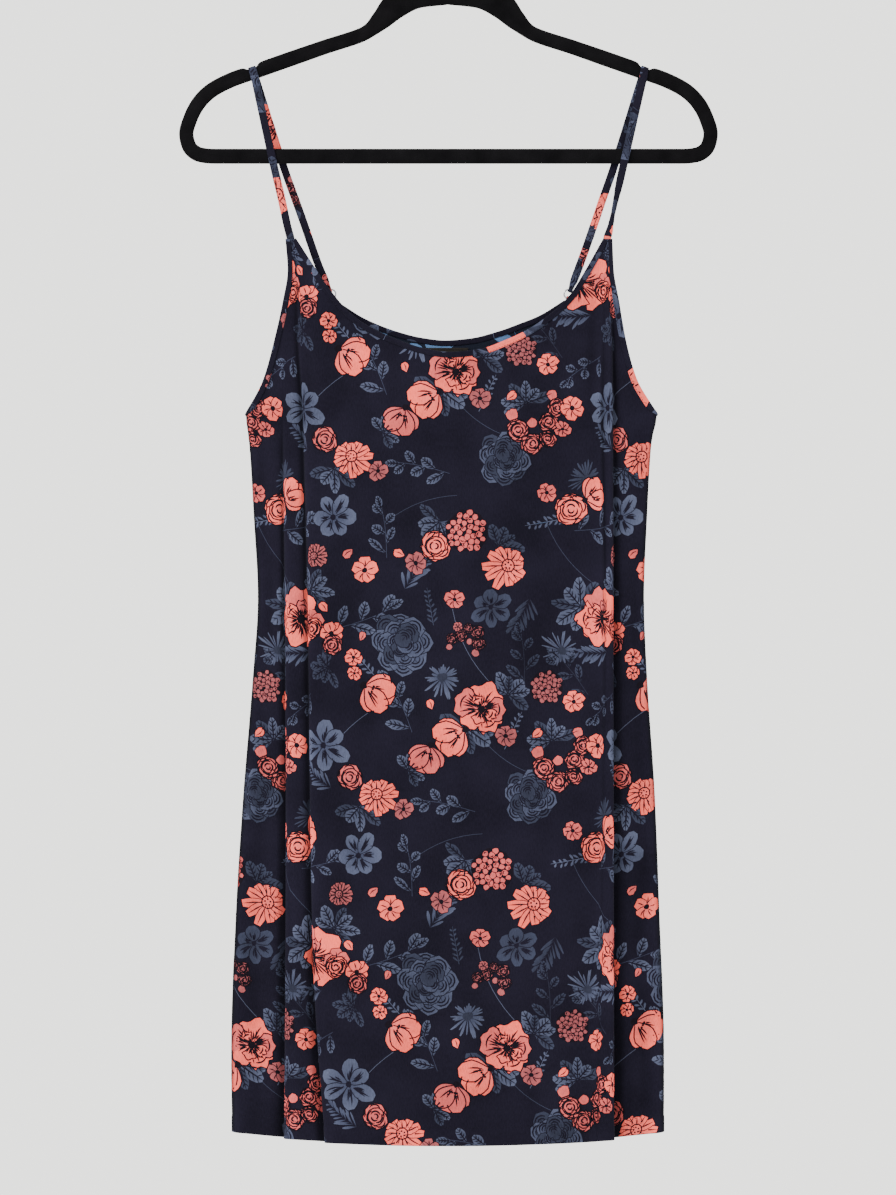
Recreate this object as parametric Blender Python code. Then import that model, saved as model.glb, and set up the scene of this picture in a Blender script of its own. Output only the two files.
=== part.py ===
"""Mini slip dress on a flocked hanger with a wire hook.

Sizes in the tables are millimetres and the objects are in metres. Z is up and the front of the
dress faces -Y. The origin is the inner top of the hook, where it rests on a rail.
"""
import math

import bmesh
import bpy
import numpy as np

MM = 0.001

# Cloth, trims and the gap kept between pieces
CLOTH = 1.2
TRIM = 0.8
GAP = 0.3
# The bindings stand a little further off the coarse facets of the panels
BINDING_GAP = 0.35
BINDING_GAP_INSIDE = 0.5
# Their lower ends stop just above the side seam
BINDING_FOOT = -430.5
TRIM_WIDTH = 3.6
STRAP_WIDTH = 6.5
STRAP_THICKNESS = 0.9

# Heights of the dress, measured down from the hook
APEX = -294.0
BACK_CORNER = -344.5
UNDERARM = -438.5
HEM = -1040.0
HEM_RISE_AT_SIDE = 8.0
HEM_HALF_WIDTH = 180.0
# Rows of points close above the underarm, where the armhole's edge bends most
UNDERARM_ROWS = (3.5, 8.5, 14.5, 24.0)
# Zones of a panel with more columns than this have them closer towards their ends
WIDE_ZONE = 8
EVEN_SHARE = 0.35
# A binding's reach grows where a level meets the edge aslant, down to this sine of the angle
LEAST_SQUARE = 0.45

# Hanger and hook
HANGER_THICKNESS = 6.0
HANGER_SQUARENESS = 2.6
NOTCH_ACROSS = 161.6
NOTCH_DEPTH = 3.0
NOTCH_HALF_LENGTH = 5.2
HOOK_WIRE_RADIUS = 1.9
HOOK_INNER_RADIUS = 19.0
HOOK_ARC_END = -50
HOOK_BEND = 24.0
HOOK_STEM_TOP = -57.0
HOOK_STEM_FOOT = -74.9
RING_RADIUS = 3.9
RING_WIRE_RADIUS = 0.7

# Small sewn pieces at the back neck
TAB_LENGTH = 10.0
TAB_WIDTH = 5.2
LABEL_TOP = -382.8
LABEL_HEIGHT = 12.0
LABEL_THICKNESS = 0.6


def curve_read(xs, ys, x):
    """Read a smooth curve through the points without overshoot."""
    order = np.argsort(xs)
    xs = np.asarray(xs, float)[order]
    ys = np.asarray(ys, float)[order]
    steps = np.diff(xs)
    slopes = np.diff(ys) / steps
    tangents = np.zeros_like(ys)
    tangents[0] = slopes[0]
    tangents[-1] = slopes[-1]
    same_sign = slopes[1:] * slopes[:-1] > 0
    total = np.where(same_sign, slopes[1:] + slopes[:-1], 1.0)
    tangents[1:-1] = np.where(same_sign, 2.0 * slopes[1:] * slopes[:-1] / total, 0.0)
    x = np.clip(np.asarray(x, float), xs[0], xs[-1])
    cell = np.clip(np.searchsorted(xs, x, side="right") - 1, 0, len(steps) - 1)
    step = steps[cell]
    u = (x - xs[cell]) / step
    low = (1 + 2 * u) * (1 - u) ** 2 * ys[cell] + u * (1 - u) ** 2 * step * tangents[cell]
    high = u * u * (3 - 2 * u) * ys[cell + 1] + u * u * (u - 1) * step * tangents[cell + 1]
    return low + high


class Table:
    """Rows of sizes with named columns, read smoothly along the first column."""

    def __init__(self, columns, rows):
        self.columns = columns
        self.rows = np.array(rows, float)

    def read(self, name, where):
        return curve_read(self.rows[:, 0], self.rows[:, self.columns.index(name)], where)


# Outline of both panels, the turn of the cloth at its side edge and the depth of the sides
SIDE_COLUMNS = (
    "level", "left", "right", "edge_depth", "edge_turn", "edge_radius", "edge_flat", "side_depth",
)
FRONT_SIDES = Table(SIDE_COLUMNS, (
    (-294.0, -133.8, 134.5, 7.0, 0.0, 4.0, 0.8, 7.0),
    (-320.0, -131.9, 135.6, 7.0, 0.0, 4.0, 1.6, 7.0),
    (-345.0, -135.8, 140.0, 6.9, 0.0, 4.0, 2.5, 7.0),
    (-377.0, -142.9, 145.6, 6.4, 0.0, 4.0, 3.0, 7.4),
    (-410.0, -152.1, 154.8, 5.6, 0.0, 4.0, 3.0, 8.0),
    (-427.0, -160.4, 164.4, 4.6, 10.0, 4.0, 2.2, 8.0),
    (-435.0, -165.6, 170.2, 2.4, 55.0, 4.0, 1.0, 8.0),
    (-438.5, -167.8, 172.8, 0.0, 90.0, 4.0, 0.5, 8.0),
    (-462.0, -165.1, 168.2, 0.0, 90.0, 4.2, 0.5, 8.4),
    (-526.0, -161.2, 164.5, 0.0, 90.0, 4.6, 0.5, 8.8),
    (-592.0, -157.9, 162.0, 0.0, 90.0, 5.0, 0.5, 9.0),
    (-658.0, -162.0, 164.5, 0.0, 90.0, 5.2, 0.5, 9.2),
    (-758.0, -170.0, 171.0, 0.0, 90.0, 5.8, 0.5, 9.4),
    (-857.0, -176.1, 174.8, 0.0, 90.0, 6.3, 0.5, 9.6),
    (-973.0, -180.0, 178.6, 0.0, 90.0, 7.0, 0.5, 9.8),
    (-1040.0, -179.4, 178.6, 0.0, 90.0, 7.0, 0.5, 10.0),
))
BACK_SIDES = Table(SIDE_COLUMNS, (
    (-344.5, -101.0, 103.4, 6.0, 0.0, 4.0, 0.8, 6.0),
    (-365.0, -107.0, 110.0, 6.2, 0.0, 4.0, 1.8, 6.2),
    (-390.0, -123.0, 127.0, 6.0, 0.0, 4.0, 2.6, 6.2),
    (-412.0, -142.0, 146.5, 5.6, 0.0, 4.0, 3.0, 5.8),
    (-428.0, -158.0, 163.0, 4.4, 10.0, 4.0, 2.2, 5.8),
    (-435.0, -165.0, 170.0, 2.4, 55.0, 4.0, 1.0, 6.0),
    (-438.5, -167.8, 172.8, 0.0, 90.0, 4.0, 0.5, 6.2),
    (-462.0, -165.1, 168.2, 0.0, 90.0, 4.2, 0.5, 7.4),
    (-526.0, -161.2, 164.5, 0.0, 90.0, 4.6, 0.5, 8.8),
    (-592.0, -157.9, 162.0, 0.0, 90.0, 5.0, 0.5, 9.4),
    (-658.0, -162.0, 164.5, 0.0, 90.0, 5.2, 0.5, 9.6),
    (-758.0, -170.0, 171.0, 0.0, 90.0, 5.8, 0.5, 10.0),
    (-857.0, -176.1, 174.8, 0.0, 90.0, 6.3, 0.5, 10.4),
    (-973.0, -180.0, 178.6, 0.0, 90.0, 7.0, 0.5, 10.8),
    (-1040.0, -179.4, 178.6, 0.0, 90.0, 7.0, 0.5, 11.0),
))

# Each lengthwise fold is a step in depth. The cloth turns up, leans back and turns level again,
# so a tall step laps over itself. `across` is the fold's visible edge, `flat` its level ends and
# `lean` the share of the steepest turn that its height allows.
FOLD_COLUMNS = ("level", "across", "flat", "step", "lean")
HOLLOW_TURN = 1.5
ROUND_TURN = 2.7
STEEPEST_TURN = 160.0
FRONT_FOLDS = (
    Table(FOLD_COLUMNS, (
        (-294.0, -131.4, 0.8, 0.0, 0.7),
        (-320.0, -128.9, 1.2, 0.0, 0.7),
        (-345.0, -131.0, 2.0, 0.0, 0.7),
        (-377.0, -133.4, 2.4, 0.0, 0.7),
        (-438.5, -136.0, 2.4, 0.5, 0.7),
        (-480.0, -136.0, 2.4, 2.6, 0.8),
        (-592.0, -135.0, 2.4, 4.5, 0.85),
        (-800.0, -134.2, 2.4, 7.6, 0.9),
        (-1040.0, -135.4, 2.4, 9.2, 0.94),
    )),
    Table(FOLD_COLUMNS, (
        (-294.0, -127.8, 2.0, 0.0, 0.7),
        (-320.0, -125.6, 2.0, 0.4, 0.7),
        (-345.0, -124.6, 2.2, 1.2, 0.7),
        (-380.0, -123.8, 2.4, 2.6, 0.75),
        (-438.5, -120.4, 2.4, 3.4, 0.8),
        (-592.0, -116.0, 2.4, 4.4, 0.85),
        (-800.0, -113.4, 2.4, 6.2, 0.9),
        (-900.0, -111.0, 2.4, 7.0, 0.92),
        (-1040.0, -101.6, 2.4, 8.2, 0.92),
    )),
    Table(FOLD_COLUMNS, (
        (-294.0, 129.6, 1.6, 0.0, 0.7),
        (-320.0, 129.2, 1.6, -0.1, 0.7),
        (-438.5, 125.6, 2.4, -1.6, 0.7),
        (-592.0, 127.6, 2.4, -2.2, 0.7),
        (-800.0, 126.0, 2.4, -1.4, 0.7),
        (-1040.0, 121.0, 2.4, -0.8, 0.7),
    )),
    Table(FOLD_COLUMNS, (
        (-294.0, 132.5, 0.8, 0.0, 0.7),
        (-320.0, 132.3, 1.2, -0.3, 0.7),
        (-345.0, 133.6, 1.6, -0.8, 0.8),
        (-377.0, 135.0, 2.0, -2.8, 0.85),
        (-438.5, 135.8, 2.4, -4.6, 0.9),
        (-592.0, 136.0, 2.4, -7.0, 0.92),
        (-800.0, 136.0, 2.4, -10.0, 0.95),
        (-1040.0, 136.2, 2.4, -13.6, 0.96),
    )),
)
BACK_FOLDS = (
    Table(FOLD_COLUMNS, (
        (-344.5, -95.4, 3.0, 0.0, 0.6),
        (-365.0, -97.4, 4.0, 0.8, 0.6),
        (-438.5, -104.0, 5.0, 2.4, 0.6),
        (-592.0, -109.0, 5.0, 4.0, 0.65),
        (-800.0, -114.0, 5.0, 6.0, 0.7),
        (-1040.0, -120.0, 5.0, 8.0, 0.8),
    )),
    Table(FOLD_COLUMNS, (
        (-344.5, -42.0, 8.0, 0.0, 0.5),
        (-438.5, -44.0, 8.0, 0.0, 0.5),
        (-700.0, -47.0, 8.0, -1.6, 0.5),
        (-1040.0, -52.0, 8.0, -4.6, 0.6),
    )),
    Table(FOLD_COLUMNS, (
        (-344.5, 38.0, 8.0, 0.0, 0.5),
        (-438.5, 36.0, 8.0, 0.0, 0.5),
        (-640.0, 33.0, 8.0, 1.4, 0.5),
        (-1040.0, 26.0, 8.0, 5.2, 0.6),
    )),
    Table(FOLD_COLUMNS, (
        (-344.5, 98.0, 3.0, 0.0, 0.6),
        (-365.0, 100.0, 4.0, -0.8, 0.6),
        (-438.5, 107.0, 5.0, -2.2, 0.6),
        (-592.0, 111.0, 5.0, -4.0, 0.65),
        (-800.0, 115.0, 5.0, -6.6, 0.75),
        (-1040.0, 119.0, 5.0, -9.0, 0.85),
    )),
)

# Extra fullness between the folds, at the middle of each panel
CROWN = Table(("level", "front", "back"), (
    (-294.0, 3.0, 3.0),
    (-438.5, 2.0, 2.0),
    (-700.0, 1.6, 1.6),
    (-1040.0, 0.8, 0.8),
))

NECK_COLUMNS = ("across", "height")
FRONT_NECK = Table(NECK_COLUMNS, (
    (-126.8, -294.0),
    (-113.9, -314.0),
    (-100.7, -333.8),
    (-81.6, -356.2),
    (-65.1, -367.6),
    (-43.5, -377.7),
    (-19.5, -385.6),
    (0.0, -388.4),
    (26.1, -386.0),
    (47.7, -378.4),
    (67.5, -368.8),
    (84.1, -357.0),
    (100.7, -341.4),
    (113.1, -321.8),
    (128.8, -294.0),
))
BACK_NECK = Table(NECK_COLUMNS, (
    (-93.9, -344.5),
    (-81.6, -352.6),
    (-73.3, -357.8),
    (-56.8, -365.4),
    (-40.2, -371.1),
    (-23.6, -375.2),
    (-2.9, -377.6),
    (17.8, -376.0),
    (42.7, -369.8),
    (59.3, -363.8),
    (75.8, -357.2),
    (96.5, -344.5),
))


def fold_turn(step, lean):
    """Angle through which the cloth turns at a fold of this height, in radians."""
    highest = math.acos(max(1 - abs(step) / (HOLLOW_TURN + ROUND_TURN), -1.0))
    return lean * min(highest, math.radians(STEEPEST_TURN))


def fold_path(place, step, turn, flat):
    """Across and depth along a rising fold, from its start, with the place measured along the cloth."""
    height = abs(step)
    rise = (HOLLOW_TURN + ROUND_TURN) * (1 - math.cos(turn))
    straight = (height - rise) / math.sin(turn) if turn > 1e-6 else 0.0
    lengths = (0.5 * flat, HOLLOW_TURN * turn, straight, ROUND_TURN * turn, 0.5 * flat)
    gone = np.asarray(place) * sum(lengths)
    run = np.zeros(len(lengths) + 1)
    run[1:] = np.cumsum(lengths)
    part = [np.clip(gone - run[i], 0.0, lengths[i]) for i in range(len(lengths))]
    low = part[1] / HOLLOW_TURN
    high = part[3] / ROUND_TURN
    across = part[0] + HOLLOW_TURN * np.sin(low) + part[2] * math.cos(turn)
    across = across + ROUND_TURN * (math.sin(turn) - np.sin(turn - high)) + part[4]
    depth = HOLLOW_TURN * (1 - np.cos(low)) + part[2] * math.sin(turn)
    depth = depth + ROUND_TURN * (np.cos(turn - high) - math.cos(turn))
    return across, depth


def fold_ends(edge, step, turn, flat):
    """Where a fold starts and ends across the panel, from its visible edge."""
    width = float(fold_path(1.0, step, turn, flat)[0])
    reach = ROUND_TURN * math.sin(min(turn, 0.5 * math.pi)) + 0.5 * flat
    if step > 0:
        return edge + reach - width, edge + reach
    return edge - reach, edge - reach + width


class Panel:
    """One side of the dress as a sheet of columns and rows, with its outer face towards `facing`."""

    def __init__(self, facing, sides, folds, neck, crown, top, counts, neck_zones, row_counts):
        self.facing = facing
        self.sides = sides
        self.folds = folds
        self.neck = neck
        self.crown = crown
        self.top = top
        self.counts = counts
        self.neck_zones = neck_zones
        self.below_rows, self.above_rows = row_counts

    def columns(self):
        """Zone and place within the zone for each column, from the left edge to the right."""
        zones = []
        places = []
        for zone, count in enumerate(self.counts):
            for step in range(count):
                zones.append(zone)
                places.append(self.spread(step / count, zone))
        zones.append(len(self.counts) - 1)
        places.append(1.0)
        return np.array(zones), np.array(places)

    def spread(self, place, zone):
        """Wide zones have closer columns towards their ends."""
        even = EVEN_SHARE if self.counts[zone] > WIDE_ZONE else 1.0
        return even * place + (1 - even) * 0.5 * (1 - math.cos(math.pi * place))

    def levels(self):
        below = np.linspace(HEM, UNDERARM, self.below_rows + 1)
        close = UNDERARM + np.array(UNDERARM_ROWS)
        above = np.linspace(close[-1], self.top, self.above_rows + 1)
        return np.concatenate((below, close[:-1], above))

    def knots(self, level):
        """Across and depth at each boundary between zones."""
        side = self.sides
        turn = math.radians(side.read("edge_turn", level))
        radius = side.read("edge_radius", level)
        edge_depth = side.read("edge_depth", level)
        edge_width = radius * math.sin(turn) + side.read("edge_flat", level)
        round_depth = edge_depth + radius * (1 - math.cos(turn))
        left = side.read("left", level)
        right = side.read("right", level)
        depth = side.read("side_depth", level)
        across = [left, left + edge_width]
        depths = [edge_depth, round_depth]
        for fold in self.folds:
            across += self.fold_at(fold, level)[0]
            depths += [depth, depth + fold.read("step", level)]
            depth = depths[-1]
        across += [right - edge_width, right]
        depths += [round_depth, edge_depth]
        return np.array(across), np.array(depths)

    def fold_at(self, fold, level):
        """Ends of a fold across the panel, its step, turn and flat length at one level."""
        step = float(fold.read("step", level))
        flat = float(fold.read("flat", level))
        turn = fold_turn(step, float(fold.read("lean", level)))
        ends = fold_ends(float(fold.read("across", level)), step, turn, flat)
        return list(ends), step, turn, flat

    def flat_form(self, zones, places, level):
        """Across and depth of the outer face for columns at one level."""
        knots, knot_depths = self.knots(level)
        start, end = knots[zones], knots[zones + 1]
        low, high = knot_depths[zones], knot_depths[zones + 1]
        blend = places * places * (3 - 2 * places)
        across = start + (end - start) * places
        depth = low + (high - low) * blend
        for number, fold in enumerate(self.folds):
            inside = zones == 2 + 2 * number
            ends, step, turn, flat = self.fold_at(fold, level)
            rising = step > 0
            along = places if rising else 1 - places
            run, lift = fold_path(along, step, turn, flat)
            across = np.where(inside, ends[0] + run if rising else ends[1] - run, across)
            base = low if rising else high
            depth = np.where(inside, base + lift, depth)
        span = np.clip((across - knots[2]) / (knots[-3] - knots[2]), 0, 1)
        depth = depth + CROWN.read(self.crown, level) * np.sin(math.pi * span) ** 2
        return self.edge_form(zones, places, level, across, depth, knots)

    def edge_form(self, zones, places, level, across, depth, knots):
        """The side edges turn back towards the seam in an arc."""
        side = self.sides
        full = math.radians(side.read("edge_turn", level))
        radius = side.read("edge_radius", level)
        flat = side.read("edge_flat", level)
        edge_depth = side.read("edge_depth", level)
        last = len(self.counts) - 1
        for zone, base, sign in ((0, knots[0], 1), (last, knots[-1], -1)):
            inside = zones == zone
            inward = places if sign > 0 else 1 - places
            angle = full * (1 - inward)
            flat_run = flat * inward * (1 - math.sin(full) * (1 - inward))
            run = radius * (math.sin(full) - np.sin(angle)) + flat_run
            turned_depth = edge_depth + radius * (np.cos(angle) - math.cos(full))
            across = np.where(inside, base + sign * run, across)
            depth = np.where(inside, turned_depth, depth)
        return across, depth

    def column_top(self, zones, places):
        """Height of each column's upper end: a flat corner or the neckline."""
        across, _ = self.flat_form(zones, places, self.top)
        first, last = self.neck_zones
        in_neck = (zones >= first) & (zones <= last)
        return np.where(in_neck, self.neck.read("height", across), self.top)

    def points(self, zones, places, level):
        """Outer face points of the columns at one level."""
        zones = np.asarray(zones)
        places = np.asarray(places, float)
        across, depth = self.flat_form(zones, places, level)
        rise = (level - UNDERARM) / (self.top - UNDERARM)
        if rise > 0:
            height = UNDERARM + rise * (self.column_top(zones, places) - UNDERARM)
        else:
            hem = HEM + HEM_RISE_AT_SIDE * (across / HEM_HALF_WIDTH) ** 2
            height = UNDERARM + (level - UNDERARM) * (hem - UNDERARM) / (HEM - UNDERARM)
        y = self.facing * (depth + 0.5 * GAP)
        return np.stack((across, y, height), axis=-1)

    def normals(self, zones, places, level):
        """Directions out of the outer face."""
        nudge = 1e-4
        rise = 0.2
        forward = np.where(places < 0.5, nudge, -nudge)
        here = self.points(zones, places, level)
        along = (self.points(zones, places + forward, level) - here) / forward[:, None]
        upper = min(level + rise, self.top)
        lower = max(level - rise, HEM)
        up = self.points(zones, places, upper) - self.points(zones, places, lower)
        normal = np.cross(along, up) if self.facing < 0 else np.cross(up, along)
        return normal / np.linalg.norm(normal, axis=1)[:, None]

    def row_place(self, level, distance, from_right=False):
        """Point and normal at a distance in from a side edge, along a level."""
        near_zones, steps = 6, 12
        zones = np.repeat(np.arange(near_zones), steps)
        places = np.tile(np.arange(steps) / steps, near_zones)
        if from_right:
            zones = len(self.counts) - 1 - zones
            places = 1 - places
        row = self.points(zones, places, level)
        gone = np.concatenate(([0.0], np.cumsum(np.linalg.norm(np.diff(row, axis=0), axis=1))))
        out = self.normals(zones, places, level)
        point = np.array([np.interp(distance, gone, row[:, axis]) for axis in range(3)])
        normal = np.array([np.interp(distance, gone, out[:, axis]) for axis in range(3)])
        return point, normal / np.linalg.norm(normal)


FRONT = Panel(
    facing=-1, sides=FRONT_SIDES, folds=FRONT_FOLDS, neck=FRONT_NECK, crown="front", top=APEX,
    counts=(3, 2, 7, 2, 7, 13, 3, 1, 7, 2, 3), neck_zones=(5, 5), row_counts=(17, 6),
)
BACK = Panel(
    facing=1, sides=BACK_SIDES, folds=BACK_FOLDS, neck=BACK_NECK, crown="back", top=BACK_CORNER,
    counts=(3, 3, 4, 4, 3, 5, 3, 4, 4, 3, 3), neck_zones=(3, 7), row_counts=(16, 6),
)


def make_object(name, points, faces, look, smooth_angle=40.0):
    """Build one closed mesh object with its own material from points in millimetres."""
    mesh = bpy.data.meshes.new(name)
    mesh.from_pydata([tuple(float(value) * MM for value in point) for point in points], [], faces)
    work = bmesh.new()
    work.from_mesh(mesh)
    bmesh.ops.recalc_face_normals(work, faces=work.faces)
    work.to_mesh(mesh)
    work.free()
    mesh.shade_smooth()
    mesh.set_sharp_from_angle(angle=math.radians(smooth_angle))
    mesh.materials.append(make_material(name, *look))
    piece = bpy.data.objects.new(name, mesh)
    bpy.context.collection.objects.link(piece)
    return piece


# Looks of the objects: colour, roughness and metallic value
CLOTH_LOOK = ((0.022, 0.021, 0.034), 0.85, 0.0)
LABEL_LOOK = ((0.028, 0.024, 0.022), 0.8, 0.0)
METAL_LOOK = ((0.72, 0.72, 0.74), 0.2, 1.0)
FLOCK_LOOK = ((0.006, 0.006, 0.008), 0.95, 0.0)


def make_material(name, color, roughness, metallic):
    material = bpy.data.materials.new(name)
    material.use_nodes = True
    shader = material.node_tree.nodes["Principled BSDF"]
    shader.inputs["Base Color"].default_value = (*color, 1.0)
    shader.inputs["Roughness"].default_value = roughness
    shader.inputs["Metallic"].default_value = metallic
    material.diffuse_color = (*color, 1.0)
    return material


def loft(sections, closed_path=False):
    """Skin a row of closed sections, each a list of points going the same way round."""
    size = len(sections[0])
    points = [point for section in sections for point in section]
    faces = []
    count = len(sections)
    spans = count if closed_path else count - 1
    for i in range(spans):
        a = i * size
        b = ((i + 1) % count) * size
        for k in range(size):
            m = (k + 1) % size
            faces.append((a + k, a + m, b + m, b + k))
    if not closed_path:
        faces += strip_cap(0, size, False)
        faces += strip_cap((count - 1) * size, size, True)
    return points, faces


def strip_cap(first, size, turned):
    """Close a section with quads between its two halves."""
    faces = []
    for k in range(size // 2 - 1):
        quad = (first + k, first + k + 1, first + size - 2 - k, first + size - 1 - k)
        faces.append(quad[::-1] if turned else quad)
    return faces


def make_panel(name, panel):
    """A wall through the panel's rows, with its inner face set in by the cloth's thickness."""
    zones, places = panel.columns()
    outer = []
    inner = []
    for level in panel.levels():
        points = panel.points(zones, places, level)
        outer.append(points)
        inner.append(points - CLOTH * panel.normals(zones, places, level))
    near, far = np.concatenate(outer), np.concatenate(inner)
    return make_slab(name, near, far, len(zones), len(outer), CLOTH_LOOK)


def binding_section(edge, middle, inner, out_of_edge):
    """Section of a folded strip over the cloth's edge, from outer face points and their normals."""
    near, far = BINDING_GAP, BINDING_GAP + TRIM
    near_inside = CLOTH + BINDING_GAP_INSIDE
    far_inside = near_inside + TRIM
    point, normal = edge
    outer_leg = [point + far * normal for point, normal in (inner, middle, edge)]
    top = [point + 0.5 * far * normal + far * out_of_edge]
    top += [point - (CLOTH + 0.5 * BINDING_GAP_INSIDE) * normal + far * out_of_edge]
    inner_leg = [point - far_inside * normal for point, normal in (edge, middle, inner)]
    inner_back = [point - near_inside * normal for point, normal in (inner, middle, edge)]
    channel = [point - near_inside * normal + near * out_of_edge]
    channel += [point + near * normal + near * out_of_edge]
    outer_back = [point + near * normal for point, normal in (edge, middle, inner)]
    return outer_leg + top + inner_leg + inner_back + channel + outer_back


def unit(vector):
    return vector / np.linalg.norm(vector)


def across_edge(edge, tangent, inner):
    """Direction in the cloth, square to its edge, pointing off the cloth."""
    direction = edge[0] - inner[0]
    direction = direction - tangent * np.dot(direction, tangent)
    direction = direction - edge[1] * np.dot(direction, edge[1])
    return unit(direction)


def neck_station(panel, zone, place):
    """Edge, middle and inner boundary of the neck binding at one column."""
    zones = np.array([zone])
    places = np.array([place])
    nudge = 1e-3
    sign = 1 if place < 0.5 else -1
    top = panel.points(zones, places, panel.top)[0]
    beside = panel.points(zones, places + sign * nudge, panel.top)[0]
    tangent = unit((beside - top) * sign)
    below = panel.points(zones, places, panel.top - 1.0)[0]
    run = top - below
    square = np.linalg.norm(np.cross(unit(run), tangent))
    level_step = TRIM_WIDTH / max(square, LEAST_SQUARE) / np.linalg.norm(run)
    stations = []
    for share in (0.0, 0.5, 1.0):
        level = panel.top - share * level_step
        point = panel.points(zones, places, level)[0]
        normal = panel.normals(zones, places, level)[0]
        stations.append((point, normal))
    edge, middle, inner = stations
    return edge, middle, inner, across_edge(edge, tangent, inner)


def make_neck_binding(name, panel):
    """A folded strip along the neckline between the strap corners."""
    zones, places = panel.columns()
    first, last = panel.neck_zones
    stations = [(zone, place) for zone, place in zip(zones, places) if first <= zone <= last]
    stations.append((last, 1.0))
    sections = [binding_section(*neck_station(panel, zone, place)) for zone, place in stations]
    points, faces = loft(sections)
    return make_object(name, points, faces, CLOTH_LOOK)


def side_station(panel, level, width, right):
    """Edge, middle and inner boundary of the armhole binding at one level."""
    edge = panel.row_place(level, 0.0, right)
    upper = panel.row_place(min(level + 0.5, panel.top), 0.0, right)[0]
    lower = panel.row_place(level - 0.5, 0.0, right)[0]
    tangent = unit(upper - lower)
    beside = panel.row_place(level, 1.0, right)[0]
    square = np.linalg.norm(np.cross(unit(beside - edge[0]), tangent))
    reach = width / max(square, LEAST_SQUARE)
    middle = panel.row_place(level, 0.5 * reach, right)
    inner = panel.row_place(level, reach, right)
    return edge, middle, inner, across_edge(edge, tangent, inner)


def make_armhole_binding(name, panel, right):
    """A folded strip along one armhole edge of a panel, from its corner down to the side seam."""
    levels = [level for level in panel.levels()[:-1] if level >= BINDING_FOOT]
    sections = [binding_section(*side_station(panel, level, TRIM_WIDTH, right)) for level in levels]
    points, faces = loft(sections)
    return make_object(name, points, faces, CLOTH_LOOK)


# Hanger: half of its centre line with the width of the band, from the middle of the hump
HANGER_PATH = Table(("step", "across", "height", "width"), (
    (0, 0.0, -87.2, 24.0),
    (1, 24.9, -90.3, 23.4),
    (2, 43.5, -99.5, 22.4),
    (3, 55.5, -111.5, 17.0),
    (4, 68.6, -122.5, 11.8),
    (5, 104.0, -134.8, 12.0),
    (6, 133.0, -144.9, 12.4),
    (7, 161.6, -155.0, 12.4),
    (8, 180.7, -161.9, 12.4),
    (9, 197.4, -171.0, 12.4),
    (10, 207.6, -181.6, 12.2),
    (11, 213.8, -193.6, 12.0),
    (12, 217.2, -206.0, 12.0),
    (13, 214.6, -217.0, 12.2),
    (14, 205.4, -223.6, 12.4),
    (15, 192.0, -224.8, 12.4),
    (16, 96.0, -224.8, 12.4),
    (17, 0.0, -224.8, 12.4),
))
HANGER_LAST_STEP = 17.0
HANGER_SIDES = 10
NOTCH_STEP = 7.0
# The arms are above this height and the bottom bar below it
ARM_FOOT = -180.0


def hanger_steps():
    """Places along the half path, close together at the notch and the rounded end."""
    return np.concatenate((
        np.arange(0.0, 4.0, 0.5), (4.0, 5.0, 6.0, 6.45, 6.7), NOTCH_STEP + np.linspace(-0.2, 0.3, 6),
        (7.6, 8.0), np.arange(8.5, 15.1, 0.5), (16.0, 17.0),
    ))


def superellipse(angle, power):
    cosine, sine = math.cos(angle), math.sin(angle)
    round_to = 2.0 / power
    return (
        math.copysign(abs(cosine) ** round_to, cosine),
        math.copysign(abs(sine) ** round_to, sine),
    )


def hanger_frame_at(step):
    """Centre, direction of travel and band width at a place on the right half."""
    nudge = 0.01
    read = HANGER_PATH.read
    centre = np.array((read("across", step), 0.0, read("height", step)))
    low, high = max(step - nudge, 0.0), min(step + nudge, HANGER_LAST_STEP)
    along = np.array((
        read("across", high) - read("across", low), 0.0, read("height", high) - read("height", low),
    ))
    return centre, unit(along), float(read("width", step))


def notch_cut(centre):
    """How far the top edge is cut down for the strap."""
    away = (abs(centre[0]) - NOTCH_ACROSS) / NOTCH_HALF_LENGTH
    return NOTCH_DEPTH / (1.0 + away ** 6) if centre[2] > ARM_FOOT else 0.0


def hanger_section(step, mirrored):
    centre, along, width = hanger_frame_at(step)
    outward = np.array((-along[2], 0.0, along[0]))
    section = []
    for k in range(HANGER_SIDES):
        turn, lift = superellipse(2 * math.pi * (k + 0.5) / HANGER_SIDES, HANGER_SQUARENESS)
        half = 0.5 * width - (notch_cut(centre) if lift > 0 else 0.0)
        point = centre + outward * half * lift + np.array((0.0, 0.5 * HANGER_THICKNESS * turn, 0.0))
        section.append(point * np.array((-1.0, 1.0, 1.0)) if mirrored else point)
    return section


def make_hanger():
    """The flat band of the hanger as one closed loop."""
    steps = hanger_steps()
    right = [hanger_section(step, False) for step in steps]
    left = [hanger_section(step, True) for step in steps[1:-1]]
    points, faces = loft(right + left[::-1], closed_path=True)
    return make_object("hanger_frame", points, faces, FLOCK_LOOK)


def tube_sections(path, radius, sides, plane_normal):
    """Round sections along a path that stays in one plane."""
    sections = []
    path = [np.array(point, float) for point in path]
    for i, point in enumerate(path):
        before = path[max(i - 1, 0)]
        after = path[min(i + 1, len(path) - 1)]
        along = unit(after - before)
        beside = np.cross(along, plane_normal)
        section = []
        for k in range(sides):
            angle = 2 * math.pi * (k + 0.5) / sides
            section.append(point + radius * (math.cos(angle) * beside + math.sin(angle) * plane_normal))
        sections.append(section)
    return sections


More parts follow.
